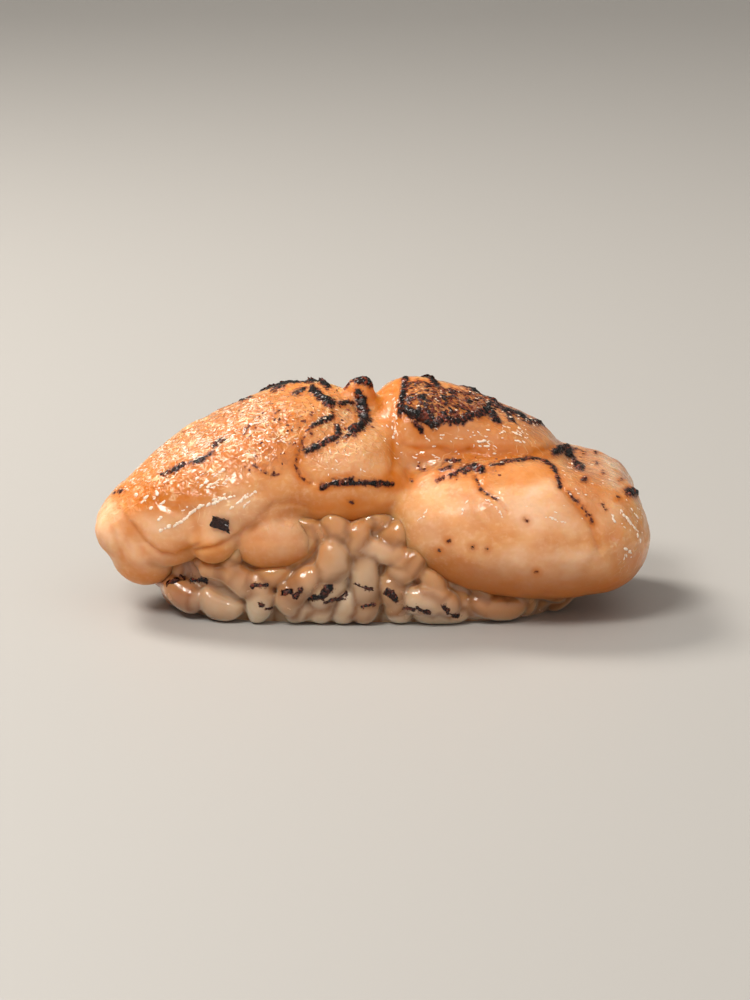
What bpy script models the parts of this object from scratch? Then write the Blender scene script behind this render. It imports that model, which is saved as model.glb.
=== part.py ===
"""Torched scallop on pressed rice, one hand-sized piece of sushi.

The scallop is opened like a book and draped over a loaf of short-grain rice. Its flesh is a
blend of named lobes, each with its real size, and the torched crust stands on it as crags. The
rice is a smooth core with the grains that show fused on. X runs to the right along the piece,
Y to the back and Z up, from the surface that the rice stands on. Sizes are in millimetres and
angles in degrees, and MM turns them into metres where a mesh is made.
"""

import math
import random

import bmesh
import bpy
import numpy as np
from mathutils import Euler, Matrix, Vector

MM = 0.001
PIECE = "scallop_on_rice"

# The rice core: a rounded loaf, cut flat where it stands.
CORE_AT = (-0.6, 0, 7.2)
CORE_HALF = (25.2, 11.2, 10.4)
CORE_SQUARE = 3.1  # 2 is an ellipsoid, more is boxier

# The grains on the core.
GRAIN = (6.4, 3.3, 2.8)  # length, width and depth
GRAIN_SPREAD = 0.12  # how far a grain's size strays, as a share
GRAIN_PROUD = 0.25  # how far a grain's middle stands off the core, as a share of its depth
ROW_HEIGHTS = (1.9, 4.9, 7.9, 10.8, 13.6)
ROW_PITCH = 2.8
CROWDED = 3.1  # how near two grains' middles may be
GRAIN_SEED = 12

# The flesh, lobe by lobe. Blend is how softly a lobe joins those before it. Tip lowers the
# right end, roll lowers the back and turn is about Z.
LOBES = {
    "heart": dict(at=(0, 0, 10), half=(20, 8, 6)),
    "left_half": dict(at=(-15.4, 1.2, 16.5), half=(15.6, 13.2, 7.6), square=2.3, tip=-26, blend=2),
    "left_end": dict(at=(-25.8, -1.6, 12.2), half=(8.5, 9.4, 4.9), square=3.4, tip=-35, blend=1.6),
    "left_front": dict(at=(-16.4, -6.2, 14.2), half=(12.4, 6.9, 5.8), square=2.1, tip=-19, blend=3),
    "middle": dict(at=(-4, 1.2, 18), half=(7.4, 13, 6.2), square=2.8, blend=1.6),
    "bib": dict(at=(-3.4, -7.8, 16.4), half=(7.5, 4.8, 4.2), square=2.3, blend=2.5),
    "right_rear": dict(at=(19, 4, 11.1), half=(13.4, 12, 7.1), square=3.3, tip=6, blend=1.5),
    "upper_right": dict(at=(10, 3, 15.6), half=(12.6, 10, 9.4), square=3.6, tip=21, blend=0.8),
    "lower_right": dict(at=(17.2, -6.8, 11.1), half=(16.3, 10.2, 8.5), tip=7, blend=0.8),
    "right_end": dict(at=(24.8, -4.4, 9.8), half=(8.4, 9.4, 7), square=2.6, blend=1.5),
    "nub": dict(at=(-1.9, 1, 25.2), half=(1.6, 2.4, 3), square=3, blend=0.5),
    "tongue": dict(at=(-12, -10.2, 10.4), half=(5.2, 3.6, 3.7), blend=0.7),
    "lump_left": dict(at=(-24.9, -9, 10), half=(3.8, 2.8, 3.2), blend=0.6),
    "lump_mid": dict(at=(-19.4, -10.8, 10.7), half=(3.1, 2.9, 3.1), blend=0.6),
    "lump_low": dict(at=(-27.8, -5.6, 6.7), half=(3.9, 4.2, 3.2), blend=0.6),
}
SPINE_HALF = 25  # rays start on a level line this long each way, near their own part of the skin
SPINE_Z = 10
REACH = (9, 18, 19)  # how far a ray of length 1 goes beyond its start, along X, Y and Z
FLESH_FACES = 4200
FIT_GAP = 0.4  # between the flesh and the rice core
GRAIN_GAP = 0.5  # between the flesh and a grain

# What is given as it is seen from the front, or from the back, is across and up in the plane
# through the middle of the foot that faces the eye.
EYE_TILT = 14.5
EYE_AWAY = 550

# Grains that stand out at the front: across, up, lean from level, length and width.
FRONT_GRAINS = (
    (-14.0, 0.3, 90, 6.6, 3.4),
    (-10.3, 10.0, 0, 5.8, 2.7),
    (-4.8, 9.1, -55, 4.8, 3.3),
    (-5.0, 4.9, 80, 5.8, 4.0),
    (-1.5, 2.8, 90, 6.6, 3.4),
    (-10.3, 0.5, 70, 4.8, 3.7),
    (-9.0, -1.3, 20, 4.4, 3.0),
    (-6.2, -1.1, 60, 4.4, 3.0),
    (-3.4, -0.7, 80, 4.8, 3.2),
    (-0.9, -0.7, 70, 4.6, 3.0),
    (2.2, 1.2, 100, 4.8, 3.1),
    (2.8, -1.4, 90, 4.6, 3.4),
    (1.3, 6.0, -15, 6.2, 2.6),
    (8.1, -1.6, 0, 6.6, 2.7),
    (7.1, 0.4, -8, 7.4, 3.9),
    (7.4, 2.5, -60, 4.4, 2.8),
    (14.5, -0.5, -12, 7.4, 3.2),
    (20.0, -1.1, 5, 6.6, 2.7),
    (-18.8, 4.1, -10, 5.6, 2.9),
    (-18.7, -0.9, -12, 5.8, 3.5),
    (-23.0, 1.2, -15, 6.2, 3.9),
    (-17.0, 3.0, -35, 5.5, 3.5),
    (-8.5, 2.6, 40, 5.2, 3.6),
    (-2.0, 7.5, 100, 5.2, 3.4),
    (-5.7, 1.6, 50, 5.2, 3.4),
)

# The torched crust as it is seen: width, then the line that it follows.
FRONT_CRUST = {
    "centre_flake": (1.8, ((-2.0, 25.4), (-0.9, 23.3), (-1.3, 21.6), (-3.3, 20.3))),
    "nub_cap": (1.6, ((-2.4, 27.0), (-0.4, 26.7))),
    "left_flake": (1.3, ((-7.5, 25.6), (-5.2, 24.0))),
    "left_bar": (1.1, ((-8.4, 18.3), (-6.8, 19.5), (-5.2, 20.3), (-4.5, 21.4))),
    "left_bar_high": (0.8, ((-8.3, 20.9), (-5.4, 22.4))),
    "front_line": (1.0, ((-6.6, 14.0), (-3.2, 14.5), (-0.3, 14.4), (1.8, 14.2))),
    "edge_long": (0.9, ((-22.9, 16.7), (-20.1, 18.1))),
    "patch_left": (1.4, ((3.6, 26.4), (3.7, 24.6), (3.4, 23.0))),
    "patch_top": (1.9, ((5.2, 25.6), (8.4, 25.4), (11.4, 24.4))),
    "patch_middle": (1.9, ((5.2, 24.0), (8.4, 23.8), (11.0, 22.8))),
    "patch_low": (1.3, ((3.4, 23.3), (5.3, 22.9), (7.2, 21.7), (9.0, 22.2), (11.2, 21.9))),
    "patch_low_right": (1.1, ((11.2, 21.9), (12.8, 22.8), (14.6, 23.1))),
    "top_line": (0.9, ((12.5, 24.8), (15.1, 23.9), (18.1, 22.6), (21.2, 21.7))),
    "fold_dots": (0.9, ((8.6, 15.2), (10.3, 15.8))),
    "fold_line": (0.9, ((11.3, 15.9), (14.3, 16.3), (18.3, 17.3), (20.0, 17.4), (22.1, 16.0))),
    "right_flake": (1.4, ((22.5, 18.4), (23.9, 18.4), (25.5, 16.3))),
    "right_edge_dot": (1.0, ((31.0, 13.5), (32.4, 13.4))),
    "front_chip": (2.0, ((-19.9, 9.3), (-18.0, 9.5))),
}
BACK_CRUST = {
    "back_left_bar": (1.1, ((-19.0, 23.0), (-14.5, 21.6), (-11.0, 21.9))),
    "back_left_flake": (1.6, ((-7.4, 24.9), (-5.4, 22.3))),
    "back_line": (1.0, ((2.4, 20.3), (7.5, 19.6), (12.4, 18.2))),
    "back_flake": (1.7, ((6.0, 25.1), (8.4, 23.3))),
    "back_right_bar": (0.9, ((17.4, 20.0), (21.6, 17.7))),
}
CRAG_LENGTH = 1.7
CRAG_HEIGHT = 0.55  # as a share of its width
CRAG_SINK = 0.12  # how far a crag's middle is under the skin, as a share of its width
CRUST_SEED = 12

FLESH_COLOUR = (0.86, 0.52, 0.27)
RICE_COLOUR = (0.8, 0.7, 0.55)


def turned(tip=0.0, roll=0.0, turn=0.0):
    """A 3x3 rotation matrix from a lobe's angles."""
    angles = [math.radians(a) for a in (-roll, tip, turn)]
    return np.array(Euler(angles, "XYZ").to_matrix())


def lobe_gap(points, at, half, square=2.0, tip=0.0, roll=0.0, turn=0.0, blend=0.0):
    """About how far each point is outside one rounded lobe."""
    local = np.abs((points - np.array(at)) @ turned(tip, roll, turn)) / np.array(half)
    reach = (local**square).sum(axis=1) ** (1 / square)
    slope = (local / reach[:, None]) ** (square - 1) / np.array(half)
    return (reach - 1) / np.linalg.norm(slope, axis=1)


def soft_least(a, b, blend):
    """The smaller of two distances, rounded over blend where they are near each other."""
    share = np.clip(0.5 + 0.5 * (b - a) / blend, 0, 1)
    return b + (a - b) * share - blend * share * (1 - share)


def flesh_gap(points):
    """About how far each point is outside the flesh."""
    gap = None
    for lobe in LOBES.values():
        one = lobe_gap(points, **lobe)
        gap = one if gap is None else soft_least(gap, one, lobe["blend"])
    return gap


def core_gap(points):
    return lobe_gap(points, CORE_AT, CORE_HALF, CORE_SQUARE)


def crossings(starts, rays, gap_of, near, far, steps=24):
    """Where each ray, inside at near and outside at far, crosses the skin of gap_of."""
    near = np.full(len(rays), float(near))
    far = np.full(len(rays), float(far))
    for _ in range(steps):
        middle = (near + far) / 2
        inside = gap_of(starts + rays * middle[:, None]) < 0
        near = np.where(inside, middle, near)
        far = np.where(inside, far, middle)
    return starts + rays * near[:, None]


def seen_places(seen, gap_of, behind=False, steps=80):
    """Where the eye sees each point, given as across and up, on the skin of gap_of."""
    tilt = math.radians(EYE_TILT)
    side = -1 if behind else 1
    eye = np.array((0, -side * math.cos(tilt), math.sin(tilt))) * EYE_AWAY
    plane_up = np.array((0, side * math.sin(tilt), math.cos(tilt)))
    targets = np.outer([s[0] for s in seen], (1, 0, 0)) + np.outer([s[1] for s in seen], plane_up)
    rays = targets - eye
    rays /= np.linalg.norm(rays, axis=1)[:, None]
    places = eye + rays * (EYE_AWAY - 40)
    for _ in range(steps):
        places += rays * gap_of(places)[:, None] * 0.6
    return places


def outward(points, gap_of, step=0.05):
    """The unit directions in which gap_of grows fastest."""
    shifts = np.eye(3) * step
    slopes = np.stack([gap_of(points + s) - gap_of(points - s) for s in shifts], axis=1)
    return slopes / np.linalg.norm(slopes, axis=1)[:, None]


def mesh_object(name, bm, collection):
    mesh = bpy.data.meshes.new(name)
    bm.to_mesh(mesh)
    bm.free()
    obj = bpy.data.objects.new(name, mesh)
    collection.objects.link(obj)
    return obj


def place_verts(bm, places):
    for vert, place in zip(bm.verts, places):
        vert.co = Vector(place) * MM


def relax(bm, gap_of, rounds):
    """Evens out the points and sets them back on the skin of gap_of."""
    for _ in range(rounds):
        bmesh.ops.smooth_vert(
            bm, verts=bm.verts, factor=0.5, use_axis_x=True, use_axis_y=True, use_axis_z=True
        )
        points = np.array([v.co for v in bm.verts]) / MM
        place_verts(bm, points - outward(points, gap_of) * gap_of(points)[:, None])


def apply_modifiers(obj):
    graph = bpy.context.evaluated_depsgraph_get()
    mesh = bpy.data.meshes.new_from_object(obj.evaluated_get(graph))
    obj.modifiers.clear()
    obj.data = mesh


def island(start, left):
    """The faces joined to one face, taken out of those left."""
    found = [start]
    left.discard(start)
    for face in found:
        near = {other for edge in face.edges for other in edge.link_faces} & left
        found.extend(near)
        left -= near
    return found


def keep_outer_skin(obj):
    """Fills hollows that are closed all round and drops loose scraps."""
    bm = bmesh.new()
    bm.from_mesh(obj.data)
    left = set(bm.faces)
    islands = []
    while left:
        islands.append(island(next(iter(left)), left))
    outer = max(islands, key=len)
    spare = [face for faces in islands if faces is not outer for face in faces]
    bmesh.ops.delete(bm, geom=spare, context="FACES")
    bm.to_mesh(obj.data)
    bm.free()


def new_collection(name):
    collection = bpy.data.collections.new(name)
    bpy.context.scene.collection.children.link(collection)
    return collection


def join_collection(obj, collection):
    """One Boolean union of obj with all of a collection, whose objects are then removed."""
    join = obj.modifiers.new("join", "BOOLEAN")
    join.operation = "UNION"
    join.solver = "EXACT"
    join.operand_type = "COLLECTION"
    join.collection = collection
    apply_modifiers(obj)
    for piece in list(collection.objects):
        bpy.data.objects.remove(piece)
    bpy.data.collections.remove(collection)
    keep_outer_skin(obj)


def core_mesh(subdivisions, larger=0.0):
    """The rice core, larger all round by so many millimetres, cut flat at its foot."""
    bm = bmesh.new()
    bmesh.ops.create_icosphere(bm, subdivisions=subdivisions, radius=1)
    directions = np.array([v.co.normalized() for v in bm.verts])
    rays = directions * np.array(CORE_HALF)
    place_verts(bm, crossings(np.array(CORE_AT), rays, lambda p: core_gap(p) - larger, 0.5, 2))
    foot = Vector((0, 0, -larger * MM))
    everything = bm.verts[:] + bm.edges[:] + bm.faces[:]
    cut = bmesh.ops.bisect_plane(
        bm, geom=everything, plane_co=foot, plane_no=(0, 0, -1), clear_outer=True
    )
    rim = [e for e in cut["geom_cut"] if isinstance(e, bmesh.types.BMEdge)]
    bmesh.ops.contextual_create(bm, geom=rim)
    bmesh.ops.recalc_face_normals(bm, faces=bm.faces[:])
    return bm


def front_grain_places():
    """The grains that stand out: whether seen, middle, long axis, length and width."""
    places = seen_places(FRONT_GRAINS, core_gap)
    for place, (_, _, lean, length, width) in zip(places, FRONT_GRAINS):
        lean = math.radians(lean)
        yield True, Vector(place), Vector((math.cos(lean), 0, math.sin(lean))), length, width


def row_grain_places(draw):
    """Grains in loose rows round the core, each turned its own way."""
    around = math.pi * math.sqrt(2) * math.hypot(CORE_HALF[0], CORE_HALF[1])
    count = round(around / ROW_PITCH)
    for height in ROW_HEIGHTS:
        for step in range(count):
            angle = 2 * math.pi * (step + draw.uniform(-0.3, 0.3)) / count
            level = np.array((CORE_AT[0], CORE_AT[1], height + draw.uniform(-0.7, 0.7)))
            ray = np.array((math.cos(angle) * CORE_HALF[0], math.sin(angle) * CORE_HALF[1], 0))
            place = crossings(level, ray[None], core_gap, 0, 1.5)[0]
            lean = draw.uniform(-math.pi / 2, math.pi / 2)
            sideways = Vector((-math.sin(angle), math.cos(angle), 0))
            along = sideways * math.cos(lean) + Vector((0, 0, math.sin(lean)))
            grow = draw.uniform(1 - GRAIN_SPREAD, 1 + GRAIN_SPREAD)
            yield False, Vector(place), along, GRAIN[0] * grow, GRAIN[1] * grow


def grain_points(pattern, place, along, length, width):
    """A unit ball's points made into a grain that lies on the core, its poles at its ends."""
    out = Vector(outward(np.array([place]), core_gap)[0])
    along = (along - out * along.dot(out)).normalized()
    depth = GRAIN[2] * width / GRAIN[1]
    turn = np.array((along.cross(out), out, along))
    size = np.array((width, depth, length)) / 2
    points = (pattern * size) @ turn + np.array(place + out * depth * GRAIN_PROUD)
    points[:, 2] += max(0.0, -points[:, 2].min())
    return points


def lower_on_core(place, drop):
    """The place on the core so far below another one."""
    level = np.array((CORE_AT[0], CORE_AT[1], place.z - drop))
    ray = np.array((place.x - CORE_AT[0], place.y - CORE_AT[1], 0))
    return Vector(crossings(level, ray[None], core_gap, 0, 2)[0])


def fitted_grains(pattern):
    """The points of each grain, slid down the core or left out where the flesh is."""
    draw = random.Random(GRAIN_SEED)
    taken = []
    for seen, place, along, length, width in [*front_grain_places(), *row_grain_places(draw)]:
        if not seen and min((place - t).length for t in taken) < CROWDED:
            continue
        for _ in range(6):
            points = grain_points(pattern, place, along, length, width)
            if flesh_gap(points).min() > GRAIN_GAP:
                taken.append(place)
                yield points
                break
            place = lower_on_core(place, 0.5)


def make_rice(collection):
    rice = mesh_object("rice", core_mesh(4), collection)
    grains = new_collection("grains")
    ball = bmesh.new()
    bmesh.ops.create_uvsphere(ball, u_segments=6, v_segments=4, radius=1)
    pattern = np.array([v.co for v in ball.verts])
    for points in fitted_grains(pattern):
        bm = ball.copy()
        place_verts(bm, points)
        mesh_object("grain", bm, grains)
    ball.free()
    join_collection(rice, grains)
    return rice


def make_flesh(collection):
    """The draped flesh: a ball pushed out to the lobes' skin, hollowed to fit on the core."""
    bm = bmesh.new()
    bmesh.ops.create_icosphere(bm, subdivisions=6, radius=1)
    directions = np.array([v.co.normalized() for v in bm.verts])
    starts = directions * np.array((SPINE_HALF, 0, 0)) + np.array((0, 0, SPINE_Z))
    place_verts(bm, crossings(starts, directions * np.array(REACH), flesh_gap, 0.05, 1.8))
    relax(bm, flesh_gap, 16)
    faces = len(bm.faces)
    flesh = mesh_object("scallop", bm, collection)
    flesh.modifiers.new("fewer_faces", "DECIMATE").ratio = FLESH_FACES / faces
    apply_modifiers(flesh)
    cutter = mesh_object("rice_room", core_mesh(4, FIT_GAP), collection)
    hollow = flesh.modifiers.new("hollow", "BOOLEAN")
    hollow.operation = "DIFFERENCE"
    hollow.solver = "EXACT"
    hollow.object = cutter
    apply_modifiers(flesh)
    bpy.data.objects.remove(cutter)
    return flesh


def crust_steps(crust):
    """Short lengths of each line of crust, as they are seen: start, end and width."""
    for width, line in crust.values():
        for start, end in zip(line, line[1:]):
            ends = np.linspace(start, end, max(1, round(math.dist(start, end) / CRAG_LENGTH)) + 1)
            for a, b in zip(ends, ends[1:]):
                yield a, b, width


def make_crag(collection, start, end, width, draw):
    """One rough slab of crust from start to end, flat on the flesh and partly sunk in it."""
    bm = bmesh.new()
    bmesh.ops.create_cube(bm, size=1)
    for vert in bm.verts:
        vert.co *= draw.uniform(0.75, 1.2)
    middle = (start + end) / 2
    out = Vector(outward(middle[None], flesh_gap)[0])
    along = Vector(end - start)
    length = along.length + 0.5 * width
    along = (along - out * along.dot(out)).normalized()
    stand = Matrix((along, out.cross(along), out)).transposed().to_4x4()
    size = Matrix.Diagonal((length, width, width * CRAG_HEIGHT, 1))
    lift = Matrix.Translation(Vector(middle) - out * width * CRAG_SINK)
    bm.transform(Matrix.Scale(MM, 4) @ lift @ stand @ size)
    mesh_object("crag", bm, collection)


def add_crust(flesh):
    """Fuses the torched crust onto the flesh."""
    draw = random.Random(CRUST_SEED)
    crags = new_collection("crags")
    for crust, behind in ((FRONT_CRUST, False), (BACK_CRUST, True)):
        steps = list(crust_steps(crust))
        starts = seen_places([s[0] for s in steps], flesh_gap, behind)
        ends = seen_places([s[1] for s in steps], flesh_gap, behind)
        for start, end, (_, _, width) in zip(starts, ends, steps):
            if math.dist(start, end) < 2 * CRAG_LENGTH:
                make_crag(crags, start, end, width, draw)
    join_collection(flesh, crags)


def centre(objects):
    """Moves the meshes so that the origin is under the middle of what they fill."""
    corners = [Vector(c) for obj in objects for c in obj.bound_box]
    low = [min(c[axis] for c in corners) for axis in range(3)]
    high = [max(c[axis] for c in corners) for axis in range(3)]
    shift = Vector((-(low[0] + high[0]) / 2, -(low[1] + high[1]) / 2, -low[2]))
    for obj in objects:
        obj.data.transform(Matrix.Translation(shift))


def give_material(obj, colour, roughness):
    material = bpy.data.materials.new(obj.name)
    material.use_nodes = True
    shader = material.node_tree.nodes["Principled BSDF"]
    shader.inputs["Base Color"].default_value = (*colour, 1)
    shader.inputs["Roughness"].default_value = roughness
    shader.inputs["Metallic"].default_value = 0
    obj.data.materials.clear()
    obj.data.materials.append(material)


def main():
    for obj in list(bpy.data.objects):
        bpy.data.objects.remove(obj)
    parts = new_collection(PIECE)
    rice = make_rice(parts)
    flesh = make_flesh(parts)
    add_crust(flesh)
    centre([rice, flesh])
    give_material(rice, RICE_COLOUR, 0.35)
    give_material(flesh, FLESH_COLOUR, 0.3)


main()
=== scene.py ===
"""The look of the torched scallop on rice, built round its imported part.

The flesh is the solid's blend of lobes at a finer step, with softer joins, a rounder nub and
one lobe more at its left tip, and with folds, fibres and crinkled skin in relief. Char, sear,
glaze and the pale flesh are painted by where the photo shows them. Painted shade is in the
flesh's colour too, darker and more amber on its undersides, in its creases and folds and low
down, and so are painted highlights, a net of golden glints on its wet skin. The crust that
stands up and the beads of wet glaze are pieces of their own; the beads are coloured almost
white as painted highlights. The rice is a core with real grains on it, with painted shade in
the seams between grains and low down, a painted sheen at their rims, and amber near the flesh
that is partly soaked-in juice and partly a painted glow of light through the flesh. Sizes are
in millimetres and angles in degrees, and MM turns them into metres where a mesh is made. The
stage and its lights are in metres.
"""

import math
import random

import bmesh
import bpy
import numpy as np
from mathutils import Euler, Matrix, Vector, noise
from mathutils.bvhtree import BVHTree
from mathutils.kdtree import KDTree

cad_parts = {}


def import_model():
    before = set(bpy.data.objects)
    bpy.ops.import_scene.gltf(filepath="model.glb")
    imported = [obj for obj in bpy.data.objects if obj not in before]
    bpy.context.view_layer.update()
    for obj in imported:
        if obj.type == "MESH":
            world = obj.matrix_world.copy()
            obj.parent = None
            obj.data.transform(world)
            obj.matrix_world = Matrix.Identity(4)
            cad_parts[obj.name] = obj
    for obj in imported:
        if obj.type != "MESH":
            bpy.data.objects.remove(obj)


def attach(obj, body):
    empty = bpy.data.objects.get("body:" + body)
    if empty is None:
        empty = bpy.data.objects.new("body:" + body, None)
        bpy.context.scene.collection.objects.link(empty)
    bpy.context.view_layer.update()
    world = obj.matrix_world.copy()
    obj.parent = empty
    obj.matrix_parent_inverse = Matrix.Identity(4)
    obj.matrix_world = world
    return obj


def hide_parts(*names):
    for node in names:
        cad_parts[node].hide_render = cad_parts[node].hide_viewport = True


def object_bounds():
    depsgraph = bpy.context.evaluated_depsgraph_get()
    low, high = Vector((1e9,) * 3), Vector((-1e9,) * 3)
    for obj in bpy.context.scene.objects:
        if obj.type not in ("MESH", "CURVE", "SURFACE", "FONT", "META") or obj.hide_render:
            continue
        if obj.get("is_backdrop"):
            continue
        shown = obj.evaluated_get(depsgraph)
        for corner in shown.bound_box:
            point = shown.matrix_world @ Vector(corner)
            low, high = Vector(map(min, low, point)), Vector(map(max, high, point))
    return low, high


MM = 0.001

# How fine each mesh is: halvings of a ball's faces, or segments and rings.
FLESH_FINENESS = 7
ROOM_FINENESS = 5
CORE_FINENESS = 6
SPOT_SIDES = (7, 5)
GRAIN_SIDES = (20, 14)
RELAX_ROUNDS = 10

# Seeds, one for each piece that is strewn.
TILE_SEED = 3
CRUST_SEED = 7
RICE_SEED = 12
FLECK_SEED = 21
BEAD_SEED = 31

# From the lobes' own origin to the middle of the part's foot.
SHIFT = (0.199, 0.509, 0)

# The photo: its camera, and how many of its pixels a millimetre takes at the aim.
PHOTO_SIZE = (750, 1000)
PIXELS_PER_MM = 8.12
AIM = (0.12, 0, 12.7)
EYE_TILT = 14.5
EYE_AWAY = 550
SENSOR_MM = 36

# The rice core and a usual grain, as in the solid.
CORE_AT = (-0.6, 0, 7.2)
CORE_HALF = (25.2, 11.2, 10.4)
CORE_SQUARE = 3.1
GRAIN_LENGTH = 6.4
GRAIN_WIDTH = 3.3
GRAIN_DEPTH = 2.8
# The look's own rice: its rows and how many places each has, and the core under them.
ROW_HEIGHTS = (1.7, 3.6, 5.6, 7.6, 9.6, 11.6, 13.4)
ROW_GRAINS = 46
FOOT_HEIGHT = 0.05  # where the core is cut, and lower by as much as it is made larger
FIT_GAP = 0.1  # between the core and the room that the flesh leaves for it
RICE_CORE_LARGER = 0.3  # how much the core under the grains is larger all round
CORE_REACH = 45  # how far before the middle a ray starts to look for the core
RICE_CELL = 0.25  # the step of the mesh that joins the grains
FRONT_CLEAR = 3.0  # how far from a grain of the front a row's grain stays
ROW_CLEAR = 2.4
FRONT_PROUD = (0.26, 0.44)  # how far a grain stands off the core, as a share of its depth
ROW_PROUD = (0.02, 0.3)
LEAST_OUT = 0.4  # how far a grain has to show out of the flesh to be made
MOST_MARKS = 4000  # the most points that may mark where grains are

# The lobes of the flesh, each blended into those before it.
LOBES = {
    "heart": dict(at=(0, 0, 10), half=(20, 8, 6)),
    "left_half": dict(at=(-15.4, 1.2, 16.5), half=(15.6, 13.2, 7.6), square=2.3, tip=-26, blend=2),
    "left_end": dict(at=(-25.8, -1.6, 12.2), half=(8.5, 9.4, 4.9), square=3.4, tip=-35, blend=1.6),
    "left_tip": dict(at=(-31.1, -1.6, 11.6), half=(1.6, 4.4, 1.5), tip=-30, blend=1.0),
    "left_front": dict(at=(-16.4, -6.2, 14.2), half=(12.4, 6.9, 5.8), square=2.1, tip=-19, blend=3),
    "middle": dict(at=(-4, 1.2, 18), half=(7.4, 13, 6.2), square=2.8, blend=1.6),
    "bib": dict(at=(-3.4, -7.8, 16.4), half=(7.5, 4.8, 4.2), square=2.3, blend=2.5),
    "right_rear": dict(at=(19, 4, 11.1), half=(13.4, 12, 7.1), square=3.3, tip=6, blend=1.5),
    "upper_right": dict(at=(10, 3, 15.6), half=(12.6, 10, 9.4), square=3.6, tip=21, blend=2.0),
    "lower_right": dict(at=(17.2, -6.8, 11.1), half=(16.3, 10.2, 8.5), tip=7, blend=1.3),
    "right_end": dict(at=(24.8, -4.4, 9.8), half=(8.4, 9.4, 7), square=2.6, blend=1.5),
    "nub": dict(at=(-1.7, 1, 24.9), half=(1.9, 2.4, 2.8), square=2.6, blend=1.3),
    "tongue": dict(at=(-12, -10.2, 10.4), half=(5.2, 3.6, 3.7), blend=0.7),
    "lump_left": dict(at=(-24.9, -9, 10), half=(3.8, 2.8, 3.2), blend=0.6),
    "lump_mid": dict(at=(-19.4, -10.8, 10.7), half=(3.1, 2.9, 3.1), blend=0.6),
    "lump_low": dict(at=(-27.8, -5.6, 6.7), half=(3.9, 4.2, 3.2), blend=0.6),
}
# The line inside the flesh that its mesh is grown from, and how far the mesh may reach.
SPINE_HALF = 25
SPINE_Z = 10
REACH = (9, 18, 19)

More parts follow.
